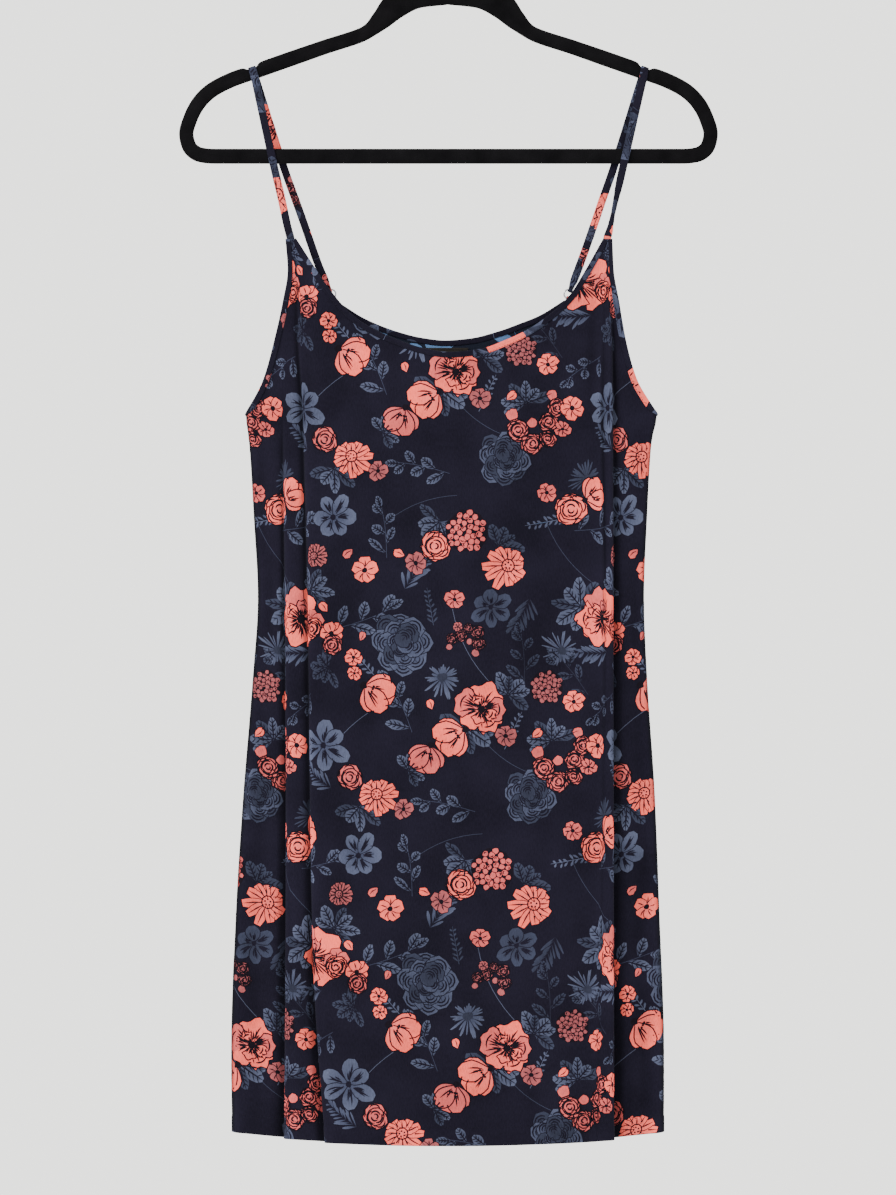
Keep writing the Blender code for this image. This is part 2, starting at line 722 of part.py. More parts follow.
def hook_path():
    """Centre line of the hook's wire: most of a circle, a bend back to the middle and a stem."""
    radius = HOOK_INNER_RADIUS + HOOK_WIRE_RADIUS
    path = []
    for degrees in range(205, HOOK_ARC_END - 1, -15):
        angle = math.radians(degrees)
        path.append((radius * math.cos(angle), 0.0, radius * math.sin(angle) - HOOK_INNER_RADIUS))
    start = np.array(path[-1])
    end = np.array((0.0, 0.0, HOOK_STEM_TOP))
    angle = math.radians(HOOK_ARC_END)
    leave = HOOK_BEND * np.array((math.sin(angle), 0.0, -math.cos(angle)))
    arrive = HOOK_BEND * np.array((0.0, 0.0, -1.0))
    for u in (0.2, 0.4, 0.6, 0.8, 1.0):
        blend = u * u * (3 - 2 * u)
        bow = u * (1 - u) ** 2 * leave + u * u * (u - 1) * arrive
        path.append(start + (end - start) * blend + bow)
    path.append((0.0, 0.0, HOOK_STEM_FOOT))
    return path


def make_hook():
    sections = tube_sections(hook_path(), HOOK_WIRE_RADIUS, 8, np.array((0.0, 1.0, 0.0)))
    points, faces = loft(sections)
    return make_object("hanger_hook", points, faces, METAL_LOOK)


def make_ring(name, centre):
    """A small wire ring standing in the plane of the strap."""
    sections = []
    sides, steps = 6, 16
    for i in range(steps):
        turn = 2 * math.pi * i / steps
        radial = np.array((math.cos(turn), 0.0, math.sin(turn)))
        section = []
        for k in range(sides):
            angle = 2 * math.pi * k / sides
            reach = RING_RADIUS + RING_WIRE_RADIUS * math.cos(angle)
            lift = np.array((0.0, RING_WIRE_RADIUS * math.sin(angle), 0.0))
            section.append(centre + radial * reach + lift)
        sections.append(section)
    points, faces = loft(sections, closed_path=True)
    return make_object(name, points, faces, METAL_LOOK)


# Where the straps run, seen from the front
STRAP_COLUMNS = ("height", "left", "right")
FRONT_STRAP = Table(STRAP_COLUMNS, (
    (-303.0, -129.4, 130.9),
    (-294.0, -130.2, 131.2),
    (-287.4, -132.2, 133.0),
    (-260.8, -138.0, 138.6),
    (-234.3, -144.2, 144.4),
    (-160.0, -160.3, 161.2),
))
BACK_STRAP = Table(STRAP_COLUMNS, (
    (-334.0, -99.4, 101.5),
    (-313.9, -108.1, 109.2),
    (-287.4, -117.3, 118.6),
    (-260.8, -126.8, 127.6),
    (-234.3, -136.3, 136.9),
    (-160.0, -159.9, 160.2),
))
BACK_STRAP_DEPTH = Table(("height", "depth"), (
    (-334.0, 5.3),
    (-300.0, 5.2),
    (-225.0, 4.3),
    (-160.0, 3.9),
))
STRAP_CLEAR = 3.9
NOTCH_SLACK = 0.25
STRAP_END_LENGTH = 36.0
STRAP_PINCHED = 3.6
PINCH_LENGTH = 9.0
RING_CENTRES = {"left": (-97.4, 5.8, -338.4), "right": (99.9, 5.8, -338.4)}
LOOP_DEPTH = 1.55
LOOP_REACH = 1.95
# One strap of the pair turns over once between the hanger and the front
TWIST = Table(("height", "degrees"), (
    (-292.0, 180.0),
    (-283.0, 140.0),
    (-268.0, 70.0),
    (-252.0, 20.0),
    (-240.0, 0.0),
))


def ribbon_sections(path, thickness):
    """Flat sections along a path of (point, across, width)."""
    sections = []
    for i, (point, across, width) in enumerate(path):
        before = path[max(i - 1, 0)][0]
        after = path[min(i + 1, len(path) - 1)][0]
        along = unit(after - before)
        across = unit(across - along * np.dot(across, along))
        face = np.cross(along, across)
        corners = ((1, 1), (1, -1), (-1, -1), (-1, 1))
        sections.append([
            point + a * 0.5 * width * across + b * 0.5 * thickness * face for a, b in corners
        ])
    return sections


def front_run(side):
    """The strap from inside the front corner up to the hanger."""
    path = []
    low_steps, high_steps = (30, 5) if side == "right" else (10, 5)
    low = np.linspace(-303.0, -240.0, low_steps)
    high = np.linspace(-225.0, -160.0, high_steps)
    heights = np.concatenate((low, high))
    for height in heights:
        x = float(FRONT_STRAP.read(side, height))
        slope = float(FRONT_STRAP.read(side, height + 2) - FRONT_STRAP.read(side, height - 2)) / 4
        across = unit(np.array((1.0, 0.0, -slope)))
        if side == "right":
            twist = math.radians(float(TWIST.read("degrees", height)))
            across = across * math.cos(twist) + np.array((0.0, math.sin(twist), 0.0))
        path.append((np.array((x, -STRAP_CLEAR, height)), across, STRAP_WIDTH))
    return path


def over_hanger(side):
    """The strap over the notch, square to the hanger's arm."""
    mirror = -1.0 if side == "left" else 1.0
    centre, along, width = hanger_frame_at(NOTCH_STEP)
    half = 0.5 * width - NOTCH_DEPTH + GAP + 0.5 * STRAP_THICKNESS + NOTCH_SLACK
    flip = np.array((mirror, 1.0, 1.0))
    outward = np.array((-along[2], 0.0, along[0])) * flip
    across = unit(along * flip) * mirror
    path = []
    for degrees in (-70, -45, -22, 0, 22, 45, 70):
        angle = math.radians(degrees)
        lift, turn = superellipse(angle, HANGER_SQUARENESS)
        point = centre * flip + outward * half * lift + np.array((0.0, STRAP_CLEAR * turn, 0.0))
        path.append((point, across, STRAP_WIDTH))
    return path


def pinch(distance):
    """Strap width near the ring, where the cloth gathers."""
    return STRAP_PINCHED + (STRAP_WIDTH - STRAP_PINCHED) * min(distance / PINCH_LENGTH, 1.0)


def back_run(side):
    """The strap down behind the hanger, through the ring and back up to its sewn end."""
    ring = np.array(RING_CENTRES[side])
    low, high = BACK_STRAP.rows[0, 0], BACK_STRAP.rows[1, 0]
    down = unit(np.array((
        BACK_STRAP.read(side, low) - BACK_STRAP.read(side, high), 0.0, low - high,
    ), float))
    across = np.array((-down[2], 0.0, down[0]))
    wire = ring - RING_RADIUS * down
    path = []
    for height in np.concatenate((np.linspace(-160.0, -300.0, 8), (-309.0, -318.0, -324.0, -328.0))):
        x = float(BACK_STRAP.read(side, height))
        slope = float(BACK_STRAP.read(side, height + 2) - BACK_STRAP.read(side, height - 2)) / 4
        point = np.array((x, float(BACK_STRAP_DEPTH.read("depth", height)), height))
        path.append((point, unit(np.array((1.0, 0.0, -slope))), pinch(height - wire[2])))
    for degrees in (90, 50, 15, -15, -50, -90):
        angle = math.radians(degrees)
        point = wire + LOOP_REACH * math.cos(angle) * down
        point = point + np.array((0.0, LOOP_DEPTH * math.sin(angle), 0.0))
        path.append((point, across, STRAP_PINCHED))
    for distance in (4.0, 8.0, 14.0, 22.0, STRAP_END_LENGTH):
        point = wire - down * distance
        depth = float(BACK_STRAP_DEPTH.read("depth", point[2])) - STRAP_THICKNESS - GAP - 0.1
        x = float(BACK_STRAP.read(side, point[2]))
        path.append((np.array((x, depth, point[2])), across, pinch(distance)))
    return path


RIBBON_SMOOTH_ANGLE = 60.0


def make_strap(side):
    path = front_run(side) + over_hanger(side) + back_run(side)
    points, faces = loft(ribbon_sections(path, STRAP_THICKNESS))
    return make_object("strap_" + side, points, faces, CLOTH_LOOK, RIBBON_SMOOTH_ANGLE)


def make_back_tab(side):
    """A short loop of binding that holds the ring to the back corner."""
    ring = np.array(RING_CENTRES[side])
    wire = ring - np.array((0.0, 0.0, RING_RADIUS))
    across = np.array((1.0, 0.0, 0.0))
    path = []
    for drop, width in ((TAB_LENGTH, TAB_WIDTH), (5.0, TAB_WIDTH), (1.5, 4.4)):
        path.append((wire + np.array((0.0, -LOOP_DEPTH, -drop)), across, width))
    for degrees in (-90, -45, 0, 45, 90):
        angle = math.radians(degrees)
        reach = np.array((0.0, LOOP_DEPTH * math.sin(angle), LOOP_REACH * math.cos(angle)))
        path.append((wire + reach, across, STRAP_PINCHED))
    for drop, width in ((1.5, 4.4), (5.0, TAB_WIDTH), (TAB_LENGTH, TAB_WIDTH)):
        path.append((wire + np.array((0.0, LOOP_DEPTH, -drop)), across, width))
    points, faces = loft(ribbon_sections(path, TRIM))
    return make_object("back_tab_" + side, points, faces, CLOTH_LOOK, RIBBON_SMOOTH_ANGLE)


# The label lies in the back's middle zone, between these shares of its width
LABEL_ZONE = 5
LABEL_SPAN = (0.257, 0.7625)
LABEL_COLUMNS = 7


def make_label():
    """A bare woven label on the inside of the back, under the neck binding."""
    places = np.linspace(*LABEL_SPAN, LABEL_COLUMNS)
    zones = np.full(len(places), LABEL_ZONE)
    tops = BACK.column_top(zones, places)
    near = []
    far = []
    for drop in (0.0, 0.5 * LABEL_HEIGHT, LABEL_HEIGHT):
        for zone_number, place, top in zip(zones, places, tops):
            rise = (LABEL_TOP - drop - UNDERARM) / (top - UNDERARM)
            level = UNDERARM + rise * (BACK_CORNER - UNDERARM)
            where = (np.array([zone_number]), np.array([place]), level)
            point = BACK.points(*where)[0]
            normal = BACK.normals(*where)[0]
            near.append(point - normal * (CLOTH + GAP))
            far.append(point - normal * (CLOTH + GAP + LABEL_THICKNESS))
    return make_slab("label", near, far, len(places), 3, LABEL_LOOK)


def make_slab(name, near, far, width, rows, look):
    """A thin plate between two grids of points."""
    faces = []
    sheet = rows * width
    for r in range(rows - 1):
        for c in range(width - 1):
            a = r * width + c
            faces.append((a, a + 1, a + width + 1, a + width))
            faces.append((sheet + a, sheet + a + width, sheet + a + width + 1, sheet + a + 1))
    rim = list(range(width))
    rim += [r * width + width - 1 for r in range(1, rows)]
    rim += [(rows - 1) * width + c for c in range(width - 2, -1, -1)]
    rim += [r * width for r in range(rows - 2, 0, -1)]
    for here, after in zip(rim, rim[1:] + rim[:1]):
        faces.append((here, sheet + here, sheet + after, after))
    return make_object(name, list(near) + list(far), faces, look)


def clear_scene():
    for thing in list(bpy.data.objects):
        bpy.data.objects.remove(thing, do_unlink=True)


clear_scene()
make_panel("front_panel", FRONT)
make_panel("back_panel", BACK)
make_neck_binding("neck_binding_front", FRONT)
make_neck_binding("neck_binding_back", BACK)
for edge_name, from_right in (("left", False), ("right", True)):
    make_armhole_binding("armhole_binding_front_" + edge_name, FRONT, from_right)
    make_armhole_binding("armhole_binding_back_" + edge_name, BACK, from_right)
for strap_side in ("left", "right"):
    make_strap(strap_side)
    make_back_tab(strap_side)
    make_ring("ring_" + strap_side, np.array(RING_CENTRES[strap_side]))
make_label()
make_hanger()
make_hook()
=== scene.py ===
"""Looks of the strappy mini dress on its hanger: printed cloth, bindings, flock, wire and light.

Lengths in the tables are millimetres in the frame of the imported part, Z up, front towards -Y.
Cloth is drawn flat, in millimetres across and up the panel, and then laid on its hanging form.
"""
import math

import bmesh
import bpy
import numpy as np
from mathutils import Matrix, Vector
from mathutils.bvhtree import BVHTree
from mathutils.geometry import delaunay_2d_cdt


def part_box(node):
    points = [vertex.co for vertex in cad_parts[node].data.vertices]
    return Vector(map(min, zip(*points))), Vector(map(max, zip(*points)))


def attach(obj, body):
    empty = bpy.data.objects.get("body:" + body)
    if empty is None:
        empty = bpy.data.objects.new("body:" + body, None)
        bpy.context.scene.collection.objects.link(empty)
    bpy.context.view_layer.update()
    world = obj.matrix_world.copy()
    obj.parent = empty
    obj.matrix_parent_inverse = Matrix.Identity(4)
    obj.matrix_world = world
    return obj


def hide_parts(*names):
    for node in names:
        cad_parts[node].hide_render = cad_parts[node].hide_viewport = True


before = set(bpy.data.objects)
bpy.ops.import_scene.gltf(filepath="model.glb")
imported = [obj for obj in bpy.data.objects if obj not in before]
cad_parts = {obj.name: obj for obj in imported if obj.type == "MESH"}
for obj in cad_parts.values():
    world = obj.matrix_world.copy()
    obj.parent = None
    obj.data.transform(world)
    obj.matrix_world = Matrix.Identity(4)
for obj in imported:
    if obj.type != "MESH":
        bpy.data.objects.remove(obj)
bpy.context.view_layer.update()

MM = 0.001
CLOTH = 1.2
GAP = 0.3
STRAP_WIDTH = 6.5
STRAP_THICKNESS = 0.9

# Heights of the dress, measured down from the hook
APEX = -294.0
BACK_CORNER = -344.5
UNDERARM = -438.5
HEM = -1040.0
HEM_RISE_AT_SIDE = 8.0
HEM_HALF_WIDTH = 180.0
# Hanger and hook
HANGER_THICKNESS = 6.0
HANGER_SQUARENESS = 2.6
NOTCH_ACROSS = 161.6
NOTCH_DEPTH = 3.0
NOTCH_HALF_LENGTH = 5.2
HOOK_WIRE_RADIUS = 1.9
HOOK_INNER_RADIUS = 19.0
HOOK_ARC_END = -50
HOOK_BEND = 24.0
HOOK_STEM_TOP = -57.0
HOOK_STEM_FOOT = -74.9
RING_RADIUS = 3.9
RING_WIRE_RADIUS = 0.7

# Small sewn pieces at the back neck
TAB_LENGTH = 10.0
TAB_WIDTH = 5.2
LABEL_TOP = -382.8
LABEL_HEIGHT = 12.0


def curve_read(xs, ys, x):
    """Read a smooth curve through the points without overshoot."""
    order = np.argsort(xs)
    xs = np.asarray(xs, float)[order]
    ys = np.asarray(ys, float)[order]
    steps = np.diff(xs)
    slopes = np.diff(ys) / steps
    tangents = np.zeros_like(ys)
    tangents[0] = slopes[0]
    tangents[-1] = slopes[-1]
    same_sign = slopes[1:] * slopes[:-1] > 0
    total = np.where(same_sign, slopes[1:] + slopes[:-1], 1.0)
    tangents[1:-1] = np.where(same_sign, 2.0 * slopes[1:] * slopes[:-1] / total, 0.0)
    x = np.clip(np.asarray(x, float), xs[0], xs[-1])
    cell = np.clip(np.searchsorted(xs, x, side="right") - 1, 0, len(steps) - 1)
    step = steps[cell]
    u = (x - xs[cell]) / step
    low = (1 + 2 * u) * (1 - u) ** 2 * ys[cell] + u * (1 - u) ** 2 * step * tangents[cell]
    high = u * u * (3 - 2 * u) * ys[cell + 1] + u * u * (u - 1) * step * tangents[cell + 1]
    return low + high


class Table:
    """Rows of sizes with named columns, read smoothly along the first column."""

    def __init__(self, columns, rows):
        self.columns = columns
        self.rows = np.array(rows, float)

    def read(self, name, where):
        return curve_read(self.rows[:, 0], self.rows[:, self.columns.index(name)], where)


# Outline of both panels, the turn of the cloth at its side edge and the depth of the sides
SIDE_COLUMNS = ("level", "left", "right", "edge_depth", "edge_turn", "edge_radius", "edge_flat", "side_depth")
FRONT_SIDES = Table(SIDE_COLUMNS, (
    (-294.0, -133.8, 134.5, 7.0, 0.0, 4.0, 0.8, 7.0),
    (-320.0, -131.9, 135.6, 7.0, 0.0, 4.0, 1.6, 7.0),
    (-345.0, -135.8, 140.0, 6.9, 0.0, 4.0, 2.5, 7.0),
    (-377.0, -142.9, 145.6, 6.4, 0.0, 4.0, 3.0, 7.4),
    (-410.0, -152.1, 154.8, 5.6, 0.0, 4.0, 3.0, 8.0),
    (-427.0, -160.4, 164.4, 4.6, 10.0, 4.0, 2.2, 8.0),
    (-435.0, -165.6, 170.2, 2.4, 55.0, 4.0, 1.0, 8.0),
    (-438.5, -167.8, 172.8, 0.0, 90.0, 4.0, 0.5, 8.0),
    (-462.0, -165.1, 168.2, 0.0, 90.0, 4.2, 0.5, 8.4),
    (-526.0, -161.2, 164.5, 0.0, 90.0, 4.6, 0.5, 8.8),
    (-592.0, -157.9, 162.0, 0.0, 90.0, 5.0, 0.5, 9.0),
    (-658.0, -162.0, 164.5, 0.0, 90.0, 5.2, 0.5, 9.2),
    (-758.0, -170.0, 171.0, 0.0, 90.0, 5.8, 0.5, 9.4),
    (-857.0, -176.1, 174.8, 0.0, 90.0, 6.3, 0.5, 9.6),
    (-973.0, -180.0, 178.6, 0.0, 90.0, 7.0, 0.5, 9.8),
    (-1040.0, -179.4, 178.6, 0.0, 90.0, 7.0, 0.5, 10.0),
))
BACK_SIDES = Table(SIDE_COLUMNS, (
    (-344.5, -101.0, 103.4, 6.0, 0.0, 4.0, 0.8, 6.0),
    (-365.0, -107.0, 110.0, 6.2, 0.0, 4.0, 1.8, 6.2),
    (-390.0, -123.0, 127.0, 6.0, 0.0, 4.0, 2.6, 6.2),
    (-412.0, -142.0, 146.5, 5.6, 0.0, 4.0, 3.0, 5.8),
    (-428.0, -158.0, 163.0, 4.4, 10.0, 4.0, 2.2, 5.8),
    (-435.0, -165.0, 170.0, 2.4, 55.0, 4.0, 1.0, 6.0),
    (-438.5, -167.8, 172.8, 0.0, 90.0, 4.0, 0.5, 6.2),
    (-462.0, -165.1, 168.2, 0.0, 90.0, 4.2, 0.5, 7.4),
    (-526.0, -161.2, 164.5, 0.0, 90.0, 4.6, 0.5, 8.8),
    (-592.0, -157.9, 162.0, 0.0, 90.0, 5.0, 0.5, 9.4),
    (-658.0, -162.0, 164.5, 0.0, 90.0, 5.2, 0.5, 9.6),
    (-758.0, -170.0, 171.0, 0.0, 90.0, 5.8, 0.5, 10.0),
    (-857.0, -176.1, 174.8, 0.0, 90.0, 6.3, 0.5, 10.4),
    (-973.0, -180.0, 178.6, 0.0, 90.0, 7.0, 0.5, 10.8),
    (-1040.0, -179.4, 178.6, 0.0, 90.0, 7.0, 0.5, 11.0),
))

# Each lengthwise fold is a step in depth. The cloth turns up, leans back and turns level again,
# so a tall step laps over itself. `across` is the fold's visible edge, `flat` its level ends and
# `lean` the share of the steepest turn that its height allows.
FOLD_COLUMNS = ("level", "across", "flat", "step", "lean")
HOLLOW_TURN = 1.5
ROUND_TURN = 2.7
STEEPEST_TURN = 160.0
FRONT_FOLDS = (
    Table(FOLD_COLUMNS, (
        (-294.0, -131.4, 0.8, 0.0, 0.7),
        (-320.0, -128.9, 1.2, 0.0, 0.7),
        (-345.0, -131.0, 2.0, 0.0, 0.7),
        (-377.0, -133.4, 2.4, 0.0, 0.7),
        (-438.5, -136.0, 2.4, 0.5, 0.7),
        (-480.0, -136.0, 2.4, 2.6, 0.8),
        (-592.0, -135.0, 2.4, 4.5, 0.85),
        (-800.0, -134.2, 2.4, 7.6, 0.9),
        (-1040.0, -135.4, 2.4, 9.2, 0.94),
    )),
    Table(FOLD_COLUMNS, (
        (-294.0, -127.8, 2.0, 0.0, 0.7),
        (-320.0, -125.6, 2.0, 0.4, 0.7),
        (-345.0, -124.6, 2.2, 1.2, 0.7),
        (-380.0, -123.8, 2.4, 2.6, 0.75),
        (-438.5, -120.4, 2.4, 3.4, 0.8),
        (-592.0, -116.0, 2.4, 4.4, 0.85),
        (-800.0, -113.4, 2.4, 6.2, 0.9),
        (-900.0, -111.0, 2.4, 7.0, 0.92),
        (-1040.0, -101.6, 2.4, 8.2, 0.92),
    )),
    Table(FOLD_COLUMNS, (
        (-294.0, 129.6, 1.6, 0.0, 0.7),
        (-320.0, 129.2, 1.6, -0.1, 0.7),
        (-438.5, 125.6, 2.4, -1.6, 0.7),
        (-592.0, 127.6, 2.4, -2.2, 0.7),
        (-800.0, 126.0, 2.4, -1.4, 0.7),
        (-1040.0, 121.0, 2.4, -0.8, 0.7),
    )),
    Table(FOLD_COLUMNS, (
        (-294.0, 132.5, 0.8, 0.0, 0.7),
        (-320.0, 132.3, 1.2, -0.3, 0.7),
        (-345.0, 133.6, 1.6, -0.8, 0.8),
        (-377.0, 135.0, 2.0, -2.8, 0.85),
        (-438.5, 135.8, 2.4, -4.6, 0.9),
        (-592.0, 136.0, 2.4, -7.0, 0.92),
        (-800.0, 136.0, 2.4, -10.0, 0.95),
        (-1040.0, 136.2, 2.4, -13.6, 0.96),
    )),
)
BACK_FOLDS = (
    Table(FOLD_COLUMNS, (
        (-344.5, -95.4, 3.0, 0.0, 0.6),
        (-365.0, -97.4, 4.0, 0.8, 0.6),
        (-438.5, -104.0, 5.0, 2.4, 0.6),
        (-592.0, -109.0, 5.0, 4.0, 0.65),
        (-800.0, -114.0, 5.0, 6.0, 0.7),
        (-1040.0, -120.0, 5.0, 8.0, 0.8),
    )),
    Table(FOLD_COLUMNS, (
        (-344.5, -42.0, 8.0, 0.0, 0.5),
        (-438.5, -44.0, 8.0, 0.0, 0.5),
        (-700.0, -47.0, 8.0, -1.6, 0.5),
        (-1040.0, -52.0, 8.0, -4.6, 0.6),
    )),
    Table(FOLD_COLUMNS, (
        (-344.5, 38.0, 8.0, 0.0, 0.5),
        (-438.5, 36.0, 8.0, 0.0, 0.5),
        (-640.0, 33.0, 8.0, 1.4, 0.5),
        (-1040.0, 26.0, 8.0, 5.2, 0.6),
    )),
    Table(FOLD_COLUMNS, (
        (-344.5, 98.0, 3.0, 0.0, 0.6),
        (-365.0, 100.0, 4.0, -0.8, 0.6),
        (-438.5, 107.0, 5.0, -2.2, 0.6),
        (-592.0, 111.0, 5.0, -4.0, 0.65),
        (-800.0, 115.0, 5.0, -6.6, 0.75),
        (-1040.0, 119.0, 5.0, -9.0, 0.85),
    )),
)

# Extra fullness between the folds, at the middle of each panel
CROWN = Table(("level", "front", "back"), (
    (-294.0, 3.0, 3.0),
    (-438.5, 2.0, 2.0),
    (-700.0, 1.6, 1.6),
    (-1040.0, 0.8, 0.8),
))

NECK_COLUMNS = ("across", "height")
FRONT_NECK = Table(NECK_COLUMNS, (
    (-126.8, -294.0),
    (-113.9, -314.0),
    (-100.7, -333.8),
    (-81.6, -356.2),
    (-65.1, -367.6),
    (-43.5, -377.7),
    (-19.5, -385.6),
    (0.0, -388.4),
    (26.1, -386.0),
    (47.7, -378.4),
    (67.5, -368.8),
    (84.1, -357.0),
    (100.7, -341.4),
    (113.1, -321.8),
    (128.8, -294.0),
))
BACK_NECK = Table(NECK_COLUMNS, (
    (-93.9, -344.5),
    (-81.6, -352.6),
    (-73.3, -357.8),
    (-56.8, -365.4),
    (-40.2, -371.1),
    (-23.6, -375.2),
    (-2.9, -377.6),
    (17.8, -376.0),
    (42.7, -369.8),
    (59.3, -363.8),
    (75.8, -357.2),
    (96.5, -344.5),
))


def fold_turn(step, lean):
    """Angle through which the cloth turns at a fold of this height, in radians."""
    highest = math.acos(max(1 - abs(step) / (HOLLOW_TURN + ROUND_TURN), -1.0))
    return lean * min(highest, math.radians(STEEPEST_TURN))


def fold_path(place, step, turn, flat):
    """Across and depth along a rising fold, from its start, with the place measured along the cloth."""
    height = abs(step)
    rise = (HOLLOW_TURN + ROUND_TURN) * (1 - math.cos(turn))
    straight = (height - rise) / math.sin(turn) if turn > 1e-6 else 0.0
    lengths = (0.5 * flat, HOLLOW_TURN * turn, straight, ROUND_TURN * turn, 0.5 * flat)
    gone = np.asarray(place) * sum(lengths)
    run = np.zeros(len(lengths) + 1)
    run[1:] = np.cumsum(lengths)
    part = [np.clip(gone - run[i], 0.0, lengths[i]) for i in range(len(lengths))]
    low = part[1] / HOLLOW_TURN
    high = part[3] / ROUND_TURN
    across = part[0] + HOLLOW_TURN * np.sin(low) + part[2] * math.cos(turn)
    across = across + ROUND_TURN * (math.sin(turn) - np.sin(turn - high)) + part[4]
    depth = HOLLOW_TURN * (1 - np.cos(low)) + part[2] * math.sin(turn)
    depth = depth + ROUND_TURN * (np.cos(turn - high) - math.cos(turn))
    return across, depth


def fold_ends(edge, step, turn, flat):
    """Where a fold starts and ends across the panel, from its visible edge."""
    width = float(fold_path(1.0, step, turn, flat)[0])
    reach = ROUND_TURN * math.sin(min(turn, 0.5 * math.pi)) + 0.5 * flat
    if step > 0:
        return edge + reach - width, edge + reach
    return edge - reach, edge - reach + width


def unit(vectors):
    vectors = np.asarray(vectors, float)
    return vectors / np.maximum(np.linalg.norm(vectors, axis=-1, keepdims=True), 1e-12)


class Panel:
    """One side of the dress as a sheet of columns and rows, with its outer face towards `facing`."""

    def __init__(self, facing, sides, folds, neck, crown, top, neck_zones):
        self.facing = facing
        self.sides = sides
        self.folds = folds
        self.neck = neck
        self.crown = crown
        self.top = top
        self.neck_zones = neck_zones

    def knots(self, level):
        """Across and depth at each boundary between zones."""
        side = self.sides
        turn = math.radians(side.read("edge_turn", level))
        radius = side.read("edge_radius", level)
        edge_depth = side.read("edge_depth", level)
        edge_width = radius * math.sin(turn) + side.read("edge_flat", level)
        round_depth = edge_depth + radius * (1 - math.cos(turn))
        left = side.read("left", level)
        right = side.read("right", level)
        depth = side.read("side_depth", level)
        across = [left, left + edge_width]
        depths = [edge_depth, round_depth]
        for fold in self.folds:
            across += self.fold_at(fold, level)[0]
            depths += [depth, depth + fold.read("step", level)]
            depth = depths[-1]
        across += [right - edge_width, right]
        depths += [round_depth, edge_depth]
        return np.array(across), np.array(depths)

    def fold_at(self, fold, level):
        """Ends of a fold across the panel, its step, turn and flat length at one level."""
        step = float(fold.read("step", level))
        flat = float(fold.read("flat", level))
        turn = fold_turn(step, float(fold.read("lean", level)))
        ends = fold_ends(float(fold.read("across", level)), step, turn, flat)
        return list(ends), step, turn, flat

    def flat_form(self, zones, places, level):
        """Across and depth of the outer face for columns at one level."""
        knots, knot_depths = self.knots(level)
        start, end = knots[zones], knots[zones + 1]
        low, high = knot_depths[zones], knot_depths[zones + 1]
        blend = places * places * (3 - 2 * places)
        across = start + (end - start) * places
        depth = low + (high - low) * blend
        for number, fold in enumerate(self.folds):
            inside = zones == 2 + 2 * number
            ends, step, turn, flat = self.fold_at(fold, level)
            rising = step > 0
            along = places if rising else 1 - places
            run, lift = fold_path(along, step, turn, flat)
            across = np.where(inside, ends[0] + run if rising else ends[1] - run, across)
            base = low if rising else high
            depth = np.where(inside, base + lift, depth)
        span = np.clip((across - knots[2]) / (knots[-3] - knots[2]), 0, 1)
        depth = depth + CROWN.read(self.crown, level) * np.sin(math.pi * span) ** 2
        return self.edge_form(zones, places, level, across, depth, knots)

    def edge_form(self, zones, places, level, across, depth, knots):
        """The side edges turn back towards the seam in an arc."""
        side = self.sides
        full = math.radians(side.read("edge_turn", level))
        radius = side.read("edge_radius", level)
        flat = side.read("edge_flat", level)
        edge_depth = side.read("edge_depth", level)
        last = 2 * len(self.folds) + 2
        for zone, base, sign in ((0, knots[0], 1), (last, knots[-1], -1)):
            inside = zones == zone
            inward = places if sign > 0 else 1 - places
            angle = full * (1 - inward)
            flat_run = flat * inward * (1 - math.sin(full) * (1 - inward))
            run = radius * (math.sin(full) - np.sin(angle)) + flat_run
            turned_depth = edge_depth + radius * (np.cos(angle) - math.cos(full))
            across = np.where(inside, base + sign * run, across)
            depth = np.where(inside, turned_depth, depth)
        return across, depth

    def column_top(self, zones, places):
        """Height of each column's upper end: a flat corner or the neckline."""
        across, _ = self.flat_form(zones, places, self.top)
        first, last = self.neck_zones
        in_neck = (zones >= first) & (zones <= last)
        return np.where(in_neck, self.neck.read("height", across), self.top)

    def points(self, zones, places, level):
        """Outer face points of the columns at one level."""
        zones = np.asarray(zones)
        places = np.asarray(places, float)
        across, depth = self.flat_form(zones, places, level)
        rise = (level - UNDERARM) / (self.top - UNDERARM)
        if rise > 0:
            height = UNDERARM + rise * (self.column_top(zones, places) - UNDERARM)
        else:
            hem = HEM + HEM_RISE_AT_SIDE * (across / HEM_HALF_WIDTH) ** 2
            height = UNDERARM + (level - UNDERARM) * (hem - UNDERARM) / (HEM - UNDERARM)
        y = self.facing * (depth + 0.5 * GAP)
        return np.stack((across, y, height), axis=-1)

    def normals(self, zones, places, level):
        """Directions out of the outer face."""
        nudge = 1e-4
        rise = 0.2
        forward = np.where(places < 0.5, nudge, -nudge)
        here = self.points(zones, places, level)
        along = (self.points(zones, places + forward, level) - here) / forward[:, None]
        upper = min(level + rise, self.top)
        lower = max(level - rise, HEM)
        up = self.points(zones, places, upper) - self.points(zones, places, lower)
        normal = np.cross(along, up) if self.facing < 0 else np.cross(up, along)
        return normal / np.linalg.norm(normal, axis=1)[:, None]


FRONT = Panel(
    facing=-1, sides=FRONT_SIDES, folds=FRONT_FOLDS, neck=FRONT_NECK, crown="front",
    top=APEX, neck_zones=(5, 5),
)
BACK = Panel(
    facing=1, sides=BACK_SIDES, folds=BACK_FOLDS, neck=BACK_NECK, crown="back",
    top=BACK_CORNER, neck_zones=(3, 7),
)


